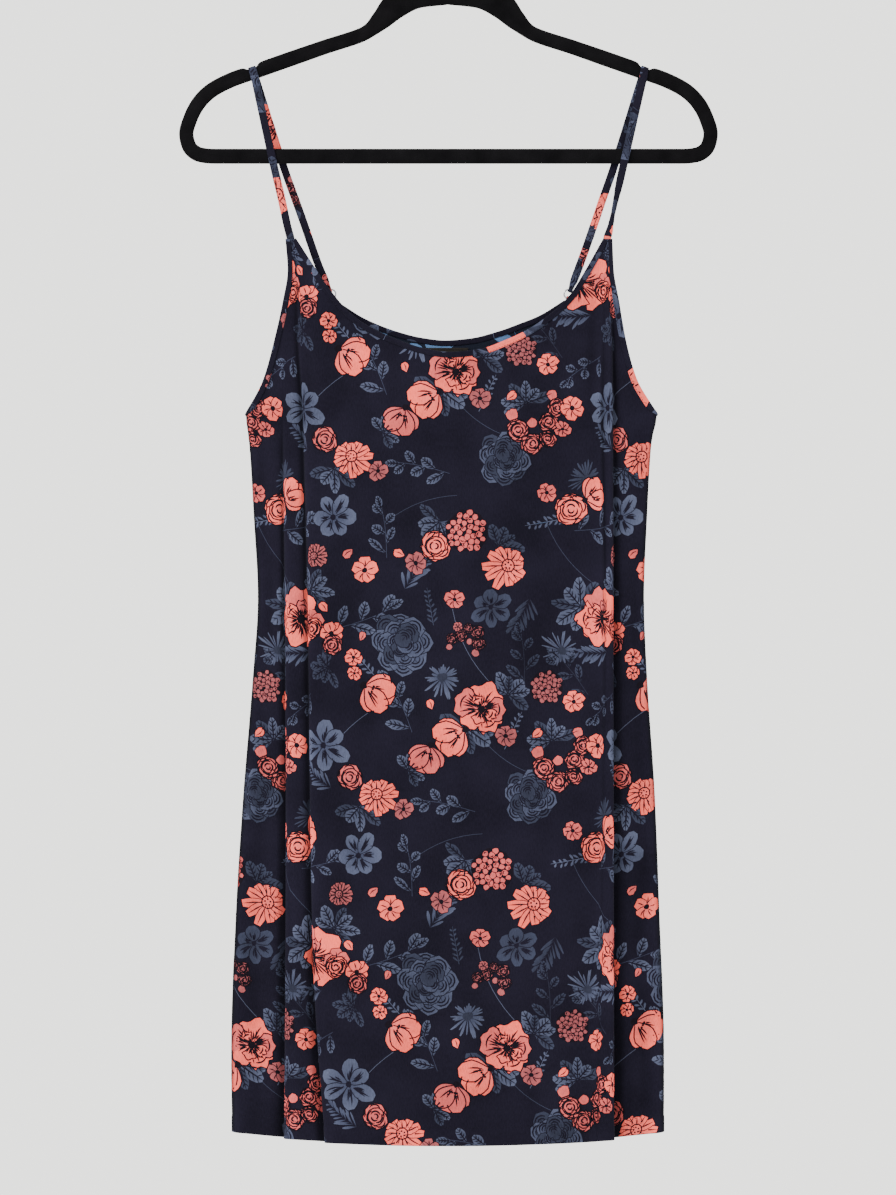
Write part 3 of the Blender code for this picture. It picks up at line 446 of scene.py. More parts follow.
# Hanger: half of its centre line with the width of the band, from the middle of the hump
HANGER_PATH = Table(("step", "across", "height", "width"), (
    (0, 0.0, -87.2, 24.0),
    (1, 24.9, -90.3, 23.4),
    (2, 43.5, -99.5, 22.4),
    (3, 55.5, -111.5, 17.0),
    (4, 68.6, -122.5, 11.8),
    (5, 104.0, -134.8, 12.0),
    (6, 133.0, -144.9, 12.4),
    (7, 161.6, -155.0, 12.4),
    (8, 180.7, -161.9, 12.4),
    (9, 197.4, -171.0, 12.4),
    (10, 207.6, -181.6, 12.2),
    (11, 213.8, -193.6, 12.0),
    (12, 217.2, -206.0, 12.0),
    (13, 214.6, -217.0, 12.2),
    (14, 205.4, -223.6, 12.4),
    (15, 192.0, -224.8, 12.4),
    (16, 96.0, -224.8, 12.4),
    (17, 0.0, -224.8, 12.4),
))
NOTCH_STEP = 7.0


def superellipse(angle, power):
    cosine, sine = math.cos(angle), math.sin(angle)
    round_to = 2.0 / power
    return (
        math.copysign(abs(cosine) ** round_to, cosine),
        math.copysign(abs(sine) ** round_to, sine),
    )


def hanger_frame_at(step):
    """Centre, direction of travel and band width at a place on the right half."""
    nudge = 0.01
    read = HANGER_PATH.read
    centre = np.array((read("across", step), 0.0, read("height", step)))
    low, high = max(step - nudge, 0.0), min(step + nudge, 17.0)
    along = np.array((
        read("across", high) - read("across", low), 0.0, read("height", high) - read("height", low),
    ))
    return centre, unit(along), float(read("width", step))


def notch_cut(centre):
    """How far the top edge is cut down for the strap."""
    away = (abs(centre[0]) - NOTCH_ACROSS) / NOTCH_HALF_LENGTH
    return NOTCH_DEPTH / (1.0 + away ** 6) if centre[2] > -180.0 else 0.0


def hanger_section(step, mirrored, sides):
    centre, along, width = hanger_frame_at(step)
    outward = np.array((-along[2], 0.0, along[0]))
    section = []
    for k in range(sides):
        turn, lift = superellipse(2 * math.pi * (k + 0.5) / sides, HANGER_SQUARENESS)
        half = 0.5 * width - (notch_cut(centre) if lift > 0 else 0.0)
        point = centre + outward * half * lift + np.array((0.0, 0.5 * HANGER_THICKNESS * turn, 0.0))
        section.append(point * np.array((-1.0, 1.0, 1.0)) if mirrored else point)
    return section


def tube_sections(path, radius, sides, plane_normal):
    """Round sections along a path that stays in one plane."""
    sections = []
    path = [np.array(point, float) for point in path]
    for i, point in enumerate(path):
        before = path[max(i - 1, 0)]
        after = path[min(i + 1, len(path) - 1)]
        along = unit(after - before)
        beside = np.cross(along, plane_normal)
        section = []
        for k in range(sides):
            angle = 2 * math.pi * (k + 0.5) / sides
            section.append(point + radius * (math.cos(angle) * beside + math.sin(angle) * plane_normal))
        sections.append(section)
    return sections


def hook_path():
    """Centre line of the hook's wire: most of a circle, a bend back to the middle and a stem."""
    radius = HOOK_INNER_RADIUS + HOOK_WIRE_RADIUS
    path = []
    for degrees in range(205, HOOK_ARC_END - 1, -15):
        angle = math.radians(degrees)
        path.append((radius * math.cos(angle), 0.0, radius * math.sin(angle) - HOOK_INNER_RADIUS))
    start = np.array(path[-1])
    end = np.array((0.0, 0.0, HOOK_STEM_TOP))
    angle = math.radians(HOOK_ARC_END)
    leave = HOOK_BEND * np.array((math.sin(angle), 0.0, -math.cos(angle)))
    arrive = HOOK_BEND * np.array((0.0, 0.0, -1.0))
    for u in (0.2, 0.4, 0.6, 0.8, 1.0):
        blend = u * u * (3 - 2 * u)
        bow = u * (1 - u) ** 2 * leave + u * u * (u - 1) * arrive
        path.append(start + (end - start) * blend + bow)
    path.append((0.0, 0.0, HOOK_STEM_FOOT))
    return path


# Where the straps run, seen from the front
STRAP_COLUMNS = ("height", "left", "right")
FRONT_STRAP = Table(STRAP_COLUMNS, (
    (-303.0, -129.4, 130.9),
    (-294.0, -130.2, 131.2),
    (-287.4, -132.2, 133.0),
    (-260.8, -138.0, 138.6),
    (-234.3, -144.2, 144.4),
    (-160.0, -160.3, 161.2),
))
BACK_STRAP = Table(STRAP_COLUMNS, (
    (-334.0, -99.4, 101.5),
    (-313.9, -108.1, 109.2),
    (-287.4, -117.3, 118.6),
    (-260.8, -126.8, 127.6),
    (-234.3, -136.3, 136.9),
    (-160.0, -159.9, 160.2),
))
BACK_STRAP_DEPTH = Table(("height", "depth"), ((-334.0, 5.3), (-300.0, 5.2), (-225.0, 4.3), (-160.0, 3.9)))
STRAP_CLEAR = 3.9
STRAP_END_LENGTH = 36.0
STRAP_PINCHED = 3.6
RING_CENTRES = {"left": (-97.4, 5.8, -338.4), "right": (99.9, 5.8, -338.4)}
LOOP_DEPTH = 1.55
LOOP_REACH = 1.95
# One strap of the pair turns over once between the hanger and the front
TWIST = Table(("height", "degrees"), (
    (-292.0, 180.0),
    (-283.0, 140.0),
    (-268.0, 70.0),
    (-252.0, 20.0),
    (-240.0, 0.0),
))


def front_run(side):
    """The strap from inside the front corner up to the hanger."""
    path = []
    steps = 30 if side == "right" else 10
    heights = np.concatenate((np.linspace(-303.0, -240.0, steps), np.linspace(-225.0, -160.0, 5)))
    for height in heights:
        x = float(FRONT_STRAP.read(side, height))
        slope = float(FRONT_STRAP.read(side, height + 2) - FRONT_STRAP.read(side, height - 2)) / 4
        across = unit(np.array((1.0, 0.0, -slope)))
        if side == "right":
            twist = math.radians(float(TWIST.read("degrees", height)))
            across = across * math.cos(twist) + np.array((0.0, math.sin(twist), 0.0))
        path.append((np.array((x, -STRAP_CLEAR, height)), across, STRAP_WIDTH))
    return path


def over_hanger(side):
    """The strap over the notch, square to the hanger's arm."""
    mirror = -1.0 if side == "left" else 1.0
    centre, along, width = hanger_frame_at(NOTCH_STEP)
    half = 0.5 * width - NOTCH_DEPTH + GAP + 0.5 * STRAP_THICKNESS + 0.25
    flip = np.array((mirror, 1.0, 1.0))
    outward = np.array((-along[2], 0.0, along[0])) * flip
    across = unit(along * flip) * mirror
    path = []
    for degrees in (-70, -45, -22, 0, 22, 45, 70):
        angle = math.radians(degrees)
        lift, turn = superellipse(angle, HANGER_SQUARENESS)
        point = centre * flip + outward * half * lift + np.array((0.0, STRAP_CLEAR * turn, 0.0))
        path.append((point, across, STRAP_WIDTH))
    return path


def pinch(distance):
    """Strap width near the ring, where the cloth gathers."""
    return STRAP_PINCHED + (STRAP_WIDTH - STRAP_PINCHED) * min(distance / 9.0, 1.0)


def back_run(side):
    """The strap down behind the hanger, through the ring and back up to its sewn end."""
    ring = np.array(RING_CENTRES[side])
    low, high = BACK_STRAP.rows[0, 0], BACK_STRAP.rows[1, 0]
    down = unit(np.array((
        BACK_STRAP.read(side, low) - BACK_STRAP.read(side, high), 0.0, low - high,
    ), float))
    across = np.array((-down[2], 0.0, down[0]))
    wire = ring - RING_RADIUS * down
    path = []
    for height in np.concatenate((np.linspace(-160.0, -300.0, 8), (-309.0, -318.0, -324.0, -328.0))):
        x = float(BACK_STRAP.read(side, height))
        slope = float(BACK_STRAP.read(side, height + 2) - BACK_STRAP.read(side, height - 2)) / 4
        point = np.array((x, float(BACK_STRAP_DEPTH.read("depth", height)), height))
        path.append((point, unit(np.array((1.0, 0.0, -slope))), pinch(height - wire[2])))
    for degrees in (90, 50, 15, -15, -50, -90):
        angle = math.radians(degrees)
        point = wire + LOOP_REACH * math.cos(angle) * down
        point = point + np.array((0.0, LOOP_DEPTH * math.sin(angle), 0.0))
        path.append((point, across, STRAP_PINCHED))
    for distance in (4.0, 8.0, 14.0, 22.0, STRAP_END_LENGTH):
        point = wire - down * distance
        depth = float(BACK_STRAP_DEPTH.read("depth", point[2])) - STRAP_THICKNESS - GAP - 0.1
        x = float(BACK_STRAP.read(side, point[2]))
        path.append((np.array((x, depth, point[2])), across, pinch(distance)))
    return path


# Soft creases, as ridges (above 0) or troughs (below 0) between two places of a panel
# Columns: from_x, from_z, to_x, to_z, half_width, height
FRONT_CREASES = (
    (-122.0, -306.0, -119.0, -470.0, 5.0, -1.1),
    (-113.0, -330.0, -104.0, -455.0, 7.0, 0.8),
    (-95.0, -352.0, -88.0, -430.0, 8.0, -0.5),
    (123.0, -318.0, 116.0, -430.0, 6.0, -0.9),
    (108.0, -345.0, 103.0, -470.0, 8.0, 0.7),
    (-60.0, -420.0, -72.0, -700.0, 16.0, 0.9),
    (-30.0, -560.0, -38.0, -860.0, 18.0, -1.0),
    (14.0, -430.0, 8.0, -640.0, 15.0, 0.7),
    (35.0, -620.0, 44.0, -1000.0, 17.0, 1.2),
    (78.0, -500.0, 84.0, -820.0, 14.0, -1.0),
    (98.0, -760.0, 92.0, -1036.0, 11.0, 1.1),
    (-84.0, -780.0, -78.0, -1038.0, 12.0, -1.2),
    (-10.0, -880.0, -6.0, -1040.0, 14.0, -0.9),
    (62.0, -930.0, 66.0, -1040.0, 9.0, -0.8),
    (-150.0, -480.0, -152.0, -700.0, 6.0, 0.8),
    (-157.0, -740.0, -162.0, -1030.0, 8.0, -0.9),
    (152.0, -500.0, 150.0, -690.0, 6.0, 0.8),
    (158.0, -780.0, 161.0, -1034.0, 7.0, -0.9),
    (-40.0, -470.0, 30.0, -500.0, 12.0, 0.35),
    (20.0, -700.0, 86.0, -680.0, 12.0, -0.35),
)
BACK_CREASES = (
    (-88.0, -360.0, -92.0, -500.0, 8.0, 0.8),
    (91.0, -358.0, 96.0, -520.0, 7.0, -0.8),
    (-58.0, -400.0, -66.0, -680.0, 15.0, -1.0),
    (-20.0, -470.0, -16.0, -780.0, 17.0, 1.0),
    (8.0, -560.0, 2.0, -930.0, 13.0, -0.8),
    (48.0, -430.0, 58.0, -700.0, 14.0, 0.9),
    (82.0, -640.0, 76.0, -1000.0, 15.0, -1.2),
    (-86.0, -720.0, -80.0, -1030.0, 13.0, 1.1),
    (-34.0, -860.0, -28.0, -1040.0, 10.0, -1.0),
    (56.0, -840.0, 50.0, -1040.0, 11.0, 1.0),
    (-140.0, -500.0, -146.0, -760.0, 9.0, -0.8),
    (-150.0, -800.0, -154.0, -1030.0, 8.0, 0.9),
    (140.0, -470.0, 144.0, -720.0, 9.0, 0.8),
    (150.0, -760.0, 156.0, -1034.0, 8.0, -1.0),
)
CREASE_FADE = 16.0
# Painted shade in the hollows along the folds and painted light on their ridges: reach of their surroundings,
# depth for the full shade, and the strengths of the painted shade and the painted light
HOLLOW_REACH = 5.0
HOLLOW_DEPTH = 0.9
HOLLOW_PAINTED_SHADE = 0.6
RIDGE_PAINTED_LIGHT = 0.14
HEM_DEPTH = 15.0
# A fold that is pressed under takes up more of the print than its visible step
HIDDEN_CLOTH = 2.2


def crease_height(creases, x, z):
    """Height of all creases at places of a panel."""
    total = np.zeros(np.shape(x))
    for from_x, from_z, to_x, to_z, half_width, height in creases:
        run = np.array((to_x - from_x, to_z - from_z))
        long = np.linalg.norm(run)
        along = ((x - from_x) * run[0] + (z - from_z) * run[1]) / long
        wander = 0.35 * half_width * np.sin(along / 31.0 + from_x)
        aside = ((x - from_x) * run[1] - (z - from_z) * run[0]) / long + wander
        ends = np.clip(np.minimum(along, long - along) / (0.3 * long) + 0.4, 0.0, 1.0)
        ends = ends * ends * (3 - 2 * ends)
        total += height * ends * np.exp(-(aside / half_width) ** 2)
    return total


class ClothForm:
    """The hanging form of a flat piece of cloth: where each flat place lies, and which way it faces."""

    def __init__(self, form, flat, outward):
        self.form = form
        self.flat = flat
        along = np.gradient(form, axis=1)
        up = np.gradient(form, axis=0)
        self.normals = unit(np.cross(along, up) * outward)
        rows, columns = form.shape[:2]
        corner = np.arange(rows * columns).reshape(rows, columns)
        a, b = corner[:-1, :-1].ravel(), corner[:-1, 1:].ravel()
        c, d = corner[1:, 1:].ravel(), corner[1:, :-1].ravel()
        self.triangles = np.concatenate((np.stack((a, b, c), 1), np.stack((a, c, d), 1)))
        level = [Vector((s, t, 0.0)) for s, t in flat.reshape(-1, 2)]
        self.tree = BVHTree.FromPolygons(level, self.triangles.tolist())
        # Painted shade and light that darken or brighten the ink colours; even unless a panel sets it
        self.shade = np.ones((rows, columns))

    def weigh(self, spots):
        """The grid corners round flat places, and each corner's share."""
        nearest = [self.tree.find_nearest(Vector((s, t, 0.0))) for s, t in spots]
        corners = self.triangles[[hit[2] for hit in nearest]]
        here = np.array([(hit[0].x, hit[0].y) for hit in nearest])
        a, b, c = (self.flat.reshape(-1, 2)[corners[:, k]] for k in range(3))
        whole = np.cross(b - a, c - a)
        whole = np.where(np.abs(whole) < 1e-12, 1e-12, whole)
        share_a = np.cross(b - here, c - here) / whole
        share_b = np.cross(c - here, a - here) / whole
        return corners, np.clip(np.stack((share_a, share_b, 1 - share_a - share_b), 1), 0.0, 1.0)

    def read(self, corners, shares):
        """Points and normals of the form at weighed places."""
        points = self.form.reshape(-1, 3)[corners]
        normals = self.normals.reshape(-1, 3)[corners]
        return (shares[:, :, None] * points).sum(1), unit((shares[:, :, None] * normals).sum(1))

    def place(self, spots):
        """Points and normals of the form at flat places."""
        return self.read(*self.weigh(np.asarray(spots, float)))


def painted_hollow_shade(form, facing):
    """Painted shade and light: darker ink in the hollows along the folds, and slightly paler ink on their
    ridges.
    """
    height = form[:, :, 1] * facing
    aside = form[:, :, None, 0] - form[:, None, :, 0]
    width = np.gradient(form[:, :, 0], axis=1)
    weights = np.exp(-(aside / HOLLOW_REACH) ** 2) * np.abs(width)[:, None, :]
    around = (weights * height[:, None, :]).sum(axis=2) / weights.sum(axis=2)
    below = np.clip((around - height) / HOLLOW_DEPTH, -1.0, 1.0)
    return 1.0 - HOLLOW_PAINTED_SHADE * np.clip(below, 0.0, 1.0) - RIDGE_PAINTED_LIGHT * np.clip(below, -1.0, 0.0)


def flat_coordinates(form, middle, taken):
    """Lay each row of a panel out flat, keeping its middle column where it hangs."""
    steps = np.linalg.norm(np.diff(form[:, :, :2], axis=1), axis=2) * taken
    gone = np.concatenate((np.zeros((len(form), 1)), np.cumsum(steps, axis=1)), axis=1)
    across = gone - gone[:, middle:middle + 1] + form[:, middle:middle + 1, 0]
    return np.stack((across, form[:, :, 2]), axis=2)


def panel_form(panel, creases, counts, hidden):
    """The fine form of a panel with its creases and its turned hem, and the painted shade and light of its
    folds.
    """
    zones = np.repeat(np.arange(len(counts)), counts)
    places = np.concatenate([np.arange(count) / count for count in counts])
    zones = np.append(zones, len(counts) - 1)
    places = np.append(places, 1.0)
    close = UNDERARM + np.array((2.0, 4.0, 6.0, 8.5, 11.0, 14.0, 18.0))
    levels = np.concatenate((
        np.linspace(HEM, HEM + HEM_DEPTH + 2.0, 7)[:-1], np.linspace(HEM + HEM_DEPTH + 2.0, UNDERARM, 72),
        close, np.linspace(UNDERARM + 22.0, panel.top, 26),
    ))
    plain = np.array([panel.points(zones, places, level) for level in levels])
    middle = int(np.argmin(np.abs(plain[0, :, 0])))
    taken = np.where(np.isin(zones[:-1], hidden), HIDDEN_CLOTH, 1.0)
    flat = flat_coordinates(plain, middle, taken)
    facing = ClothForm(plain, flat, 1.0 if panel.facing < 0 else -1.0)
    from_top = (panel.top - levels) / CREASE_FADE
    fade = np.repeat(np.clip(from_top, 0.0, 1.0)[:, None], len(zones), axis=1)
    last = len(counts) - 1
    fade = fade * np.where(zones == 0, places, np.where(zones == last, 1 - places, 1.0))
    lift = crease_height(creases, plain[:, :, 0], plain[:, :, 2]) * fade
    above_hem = plain[:, :, 2] - plain[:1, :, 2]
    lift = lift - 0.35 * np.exp(-((above_hem - HEM_DEPTH) / 1.6) ** 2)
    lift = lift + 0.25 * np.clip((HEM_DEPTH - above_hem) / 3.0, 0.0, 1.0)
    form = plain + facing.normals * lift[:, :, None]
    cloth = ClothForm(form, flat, 1.0 if panel.facing < 0 else -1.0)
    # Painted shade in the fold hollows and painted light on the ridges, later multiplied into the ink colours
    cloth.shade = painted_hollow_shade(form, panel.facing)
    return cloth, levels


# Inks of the printed cloth, in linear light: each ink has a deep and a bright value and a line colour
NAVY = (0.0086, 0.0073, 0.0148)
LINE = (0.0074, 0.0050, 0.0088)
CORAL = ((0.80, 0.135, 0.115), (0.97, 0.128, 0.092), LINE)
ROSE = ((0.50, 0.092, 0.092), (0.64, 0.104, 0.094), LINE)
DUSTY = ((0.25, 0.066, 0.074), (0.36, 0.084, 0.088), LINE)
SLATE = ((0.036, 0.041, 0.072), (0.072, 0.082, 0.132), NAVY)
DEEP_SLATE = ((0.022, 0.024, 0.041), (0.034, 0.039, 0.067), NAVY)
REVERSE_GROUND = (0.010, 0.012, 0.021)
OUTLINE = 1.0
FINE_OUTLINE = 0.6
FLORET_OUTLINE = 0.4
LINE_WEIGHT = 2.8
# Motifs under this size have finer outlines in the same measure
SMALL_MOTIF = 7.0
# Height of drawn lines over the cloth, and how far off its edge a line's middle may lie
LINE_LIFT = 0.12
LINE_HOLD = 0.2
# Only shapes wider than this show through on the wrong side
SEEN_THROUGH = 6.0


class Sketch:
    """Shapes of ink in the order of printing, each shaded from its flower's heart outwards.

    Drawn lines are bands between two sides, each with the number of shapes that lie under it.
    """

    def __init__(self, fine=True):
        self.fine = fine
        self.shapes = []
        self.strokes = []

    def add(self, points, near, far, heart, reach):
        self.shapes.append((points, near, far, heart, reach))

    def draw(self, one_side, other_side, ink):
        self.strokes.append((one_side, other_side, ink, len(self.shapes)))

    def cut_at(self, turn, offset):
        """Move the drawing to the flat places of a piece that is cut out of the print."""
        def moved(points):
            return rotated(points - offset, -turn)
        self.shapes = [(moved(points), near, far, moved(heart[None])[0], reach)
                       for points, near, far, heart, reach in self.shapes]
        self.strokes = [(moved(one), moved(other), ink, under) for one, other, ink, under in self.strokes]
        return self


class Pen:
    """Draws one motif at its place on the cloth."""

    def __init__(self, sketch, place, turn, size):
        self.sketch = sketch
        self.place = np.array(place, float)
        self.turn = turn
        self.size = size

    def moved(self, points, turn, at):
        points = rotated(np.asarray(points, float), turn) + at
        return rotated(points * self.size, self.turn) + self.place

    def within(self, at, turn, size):
        """A smaller pen at a place of this motif."""
        return Pen(self.sketch, self.moved([(0.0, 0.0)], 0.0, at)[0], self.turn + turn, self.size * size)

    def fill(self, points, near, far=None, turn=0.0, at=(0.0, 0.0), reach=1.0):
        heart = self.moved([(0.0, 0.0)], turn, at)[0]
        self.sketch.add(self.moved(points, turn, at), near, far or near, heart, reach * self.size)

    def line(self, points, width, ink, turn=0.0, at=(0.0, 0.0)):
        """A drawn line through the points, thick in its first half and thin at its end."""
        if not self.sketch.fine:
            return
        points = np.asarray(points, float)
        along = unit(np.gradient(points, axis=0))
        side = np.stack((-along[:, 1], along[:, 0]), 1)
        share = np.linspace(0.0, 1.0, len(points))
        taper = np.clip(1.25 * np.sin(math.pi * (0.12 + 0.85 * share)), 0.12, 1.0)
        half = 0.5 * LINE_WEIGHT * width * self.fineness() / self.size * taper
        side = side * half[:, None]
        self.band(points + side, points - side, ink, turn, at)

    def fineness(self):
        """Share of the full line weight that suits the motif's size."""
        return min(1.0, self.size / SMALL_MOTIF)

    def band(self, one_side, other_side, ink, turn=0.0, at=(0.0, 0.0)):
        self.sketch.draw(self.moved(one_side, turn, at), self.moved(other_side, turn, at), ink)

    def outlined(self, points, inks, turn=0.0, at=(0.0, 0.0), reach=1.0, line=OUTLINE):
        """A filled shape with a dark line round it."""
        points = np.asarray(points, float)
        self.fill(points, inks[0], inks[1], turn, at, reach)
        if self.sketch.fine:
            ring = np.concatenate((points, points[:1]))
            away = unit(ring - points.mean(axis=0))
            self.band(ring, ring + away * line * self.fineness() / self.size, inks[2], turn, at)


def rotated(points, turn):
    cosine, sine = math.cos(turn), math.sin(turn)
    x, y = points[:, 0], points[:, 1]
    return np.stack((x * cosine - y * sine, x * sine + y * cosine), 1)


def chance(seed):
    return np.random.default_rng(seed)


def petal(length, width, seed, blunt=0.62, sides=6, wobble=0.12):
    """Outline of a petal or a leaf that grows up from the origin."""
    u = (np.arange(sides) + 0.45) / sides
    half = 0.5 * width * np.sin(math.pi * u ** 1.25) ** blunt
    shift = wobble * chance(seed).uniform(-1.0, 1.0, (2, sides))
    right = np.stack((half * (1 + shift[0]), length * (u + 0.25 * shift[1])), 1)
    left = np.stack((-half * (1 + shift[1]), length * (u - 0.25 * shift[0])), 1)
    return np.concatenate(([(0.0, 0.0)], right, left[::-1]))


def ruffled_petal(length, width, seed):
    """A broad petal with a narrow foot and two or three lobes along its outer edge."""
    random = chance(seed)
    lobes = random.integers(2, 4)
    angle = np.linspace(-1.0, 1.0, 11)
    depth = random.uniform(0.05, 0.13)
    start = random.uniform(-0.6, 0.6)
    reach = 1.0 - 0.2 * np.abs(angle) ** 2.6 + depth * np.cos(math.pi * lobes * angle + start)
    spread = 0.5 * width / (0.8 * length)
    edge = np.stack((length * reach * np.sin(angle * spread), length * reach * np.cos(angle * spread)), 1)
    left, right = edge[0], edge[-1]
    waist = (0.62, 0.3)
    foot = [right * share * (share + 0.1, 1.0) for share in waist]
    back = [left * share * (share + 0.1, 1.0) for share in reversed(waist)]
    return np.concatenate((edge, foot, [(0.0, 0.0)], back))


def disc(radius, sides=9, seed=0, rough=0.06):
    angle = 2 * math.pi * np.arange(sides) / sides
    reach = radius * (1 + rough * chance(seed).uniform(-1.0, 1.0, sides))
    return np.stack((reach * np.cos(angle), reach * np.sin(angle)), 1)


def arc(radius, start, sweep, bulge=0.0, steps=6):
    """Points of a curved stroke round the heart of a flower."""
    angle = start + sweep * np.linspace(0.0, 1.0, steps)
    reach = radius * (1 + bulge * np.sin(math.pi * np.linspace(0.0, 1.0, steps)))
    return np.stack((reach * np.cos(angle), reach * np.sin(angle)), 1)


def veins(pen, length, width, ink, turn, at, random, count):
    """Strokes that fan out along a petal from its foot, and short ones in from its edge."""
    for k in range(count):
        lean = (k - 0.5 * (count - 1)) / count * width / length + random.uniform(-0.03, 0.03)
        low = random.uniform(0.16, 0.3) * length
        high = random.uniform(0.42, 0.78) * length
        bow = random.uniform(-0.04, 0.04)
        share = np.linspace(low, high, 4)
        aside = lean * share + bow * np.sin(math.pi * (share - low) / (high - low))
        pen.line(np.stack((aside, share), 1), 0.42, ink,
                 turn, at)


def poppy(pen, inks, seed, petals=5):
    """A flower seen from above: broad ruffled petals that lap over each other round a dark heart."""
    random = chance(seed)
    order = random.permutation(petals)
    for ring, (share, width) in enumerate(((1.0, 6.3), (0.62, 4.6))):
        for k in order if ring == 0 else order[:3]:
            turn = 2 * math.pi * (k + 0.5 * ring) / petals + random.uniform(-0.16, 0.16)
            length = share * random.uniform(0.84, 1.08)
            wide = width / petals * length * random.uniform(0.92, 1.12)
            shade = (inks[0], inks[1], inks[2]) if random.random() < 0.72 else (ROSE[0], ROSE[1], LINE)
            shade = inks if inks[2] is NAVY else shade
            pen.outlined(ruffled_petal(length, wide, seed + 7 * ring + int(k)), shade, turn)
            veins(pen, length, wide, inks[2], turn, (0.0, 0.0), random, 7 if ring == 0 else 4)
            if random.random() < 0.5:
                pen.line(arc(0.74 * length, math.pi / 2 - 0.36, 0.72, 0.06), 0.45, inks[2], turn)
    pen.fill(disc(0.15, 9, seed, 0.2), inks[2])
    for k in range(14 if pen.sketch.fine else 0):
        angle = 2 * math.pi * k / 14 + random.uniform(-0.1, 0.1)
        tip = random.uniform(0.26, 0.42)
        way = np.array((math.cos(angle), math.sin(angle)))
        pen.line([0.1 * way, tip * way], 0.5, inks[2])


def rose(pen, inks, seed):
    """A round double flower: lobed outer petals, then curved strokes that wind into the heart."""
    random = chance(seed)
    for k in random.permutation(5):
        turn = 2 * math.pi * k / 5 + random.uniform(-0.2, 0.2)
        at = 0.36 * np.array((-math.sin(turn), math.cos(turn)))
        lobe = disc(random.uniform(0.5, 0.62), 9, seed + int(k), 0.08) * (1.08, 0.92)
        pen.outlined(lobe, inks, turn, at, 0.9)
        pen.line(arc(0.42, 0.4, 2.1, 0.12), 0.42, inks[2], turn, at)
    pen.outlined(disc(0.56, 11, seed, 0.07), inks, 0.0, (0.0, 0.0), 0.8)
    start = random.uniform(0, 6)
    for radius, sweep in ((0.47, 2.5), (0.42, 2.0), (0.33, 2.4), (0.26, 2.2), (0.16, 3.4)):
        pen.line(arc(radius, start, sweep, 0.14, 7), 0.5, inks[2])
        start += sweep + random.uniform(-0.5, 0.4)


def cluster(pen, inks, seed):
    """A round head of small tightly packed florets."""
    random = chance(seed)
    count = 34
    pen.fill(disc(0.98, 14, seed, 0.06), inks[2])
    for k in reversed(range(count)):
        reach = 0.9 * math.sqrt((k + 0.5) / count)
        angle = 2.39996 * k
        at = (reach * math.cos(angle), reach * math.sin(angle))
        radius = random.uniform(0.115, 0.16)
        pen.outlined(disc(radius, 7, seed + k, 0.16), inks, 0.0, at, 0.3, FLORET_OUTLINE)
        if k % 2:
            pen.line(arc(0.5 * radius, random.uniform(0, 6), 2.6, 0.0, 4), 0.3, inks[2], 0.0, at)


def blossom(pen, inks, seed, petals=5):
    """A small five-petalled flower."""
    random = chance(seed)
    for k in range(petals):
        turn = 2 * math.pi * k / petals + random.uniform(-0.12, 0.12)
        shape = petal(random.uniform(0.88, 1.06), 0.86, seed + k, 0.5, 5)
        pen.outlined(shape, inks, turn, (0.0, 0.0), 1.0, FINE_OUTLINE)
        pen.line([(0.02, 0.25), (0.03, 0.5), (0.0, 0.72)], 0.35, inks[2], turn)
    pen.fill(disc(0.2, 7, seed, 0.15), inks[2])


def bud(pen, inks, seed):
    pen.outlined(petal(2.0, 1.4, seed, 0.7, 6), inks, 0.0, (0.0, -1.0), 1.6)
    pen.line([(0.0, -0.7), (0.16, 0.0), (0.05, 0.7)], 0.4, inks[2])


def cup(pen, inks, seed):
    """A flower seen from the side: smooth broad petals that rise from the foot, and a few stamens."""
    random = chance(seed)
    for lean, length, width in (
        (0.78, 0.86, 0.62), (-0.8, 0.84, 0.6), (0.0, 1.02, 0.8), (0.42, 1.0, 0.74), (-0.4, 1.02, 0.76),
    ):
        turn = lean + random.uniform(-0.07, 0.07)
        pen.outlined(petal(length * 1.6, width * 1.3, seed, 0.72, 7, 0.05), inks, turn, (0.0, -0.8), 1.6)
        veins(pen, length * 1.5, width * 0.8, inks[2], turn, (0.0, -0.8), random, 3)
    for k in range(4):
        pen.fill(disc(0.07, 5, seed + k), inks[2], None, 0.0, (-0.2 + 0.13 * k, 0.02 * k - 0.42))
    pen.fill(petal(0.42, 0.36, seed), inks[2], None, math.pi, (0.0, -0.66))


def daisy(pen, inks, seed, petals=12):
    """A flower of long narrow petals, seen a little from the side."""
    random = chance(seed)
    for k in range(petals):
        turn = 2 * math.pi * k / petals + random.uniform(-0.08, 0.08)
        length = random.uniform(0.86, 1.06) * (1.0 - 0.22 * math.cos(turn))
        pen.outlined(petal(length, 0.4, seed + k, 0.55, 4), inks, turn, (0.0, 0.0), 1.0, FINE_OUTLINE)
        pen.line([(0.0, 0.22), (0.01, 0.5 * length), (0.0, 0.85 * length)], 0.4, inks[2], turn)
    pen.outlined(disc(0.24, 9, seed), inks, 0.0, (0.0, 0.0), 0.4)
    for k in range(5):
        pen.fill(disc(0.05, 4, k), inks[2], None, 0.0, (0.12 * math.cos(1.26 * k), 0.12 * math.sin(1.26 * k)))


def bunch(pen, inks, seed):
    """A loose bunch of small round roses and buds on an arc."""
    random = chance(seed)
    for k, (x, y, size) in enumerate((
        (-0.86, 0.5, 0.2), (-0.66, -0.02, 0.42), (-0.2, -0.46, 0.4), (0.3, -0.3, 0.32), (0.34, 0.26, 0.36),
        (0.8, 0.02, 0.3), (0.62, 0.72, 0.34), (0.46, 1.16, 0.17), (-0.2, 0.22, 0.16),
    )):
        inner = pen.within((x, y), random.uniform(0, 6), size)
        if size > 0.3:
            rose(inner, inks, seed + k)
        elif size > 0.2:
            blossom(inner, inks, seed + k)
        else:
            inner.outlined(disc(1.0, 9, seed + k, 0.12), inks, 0.0, (0.0, 0.0), 1.0, FINE_OUTLINE)


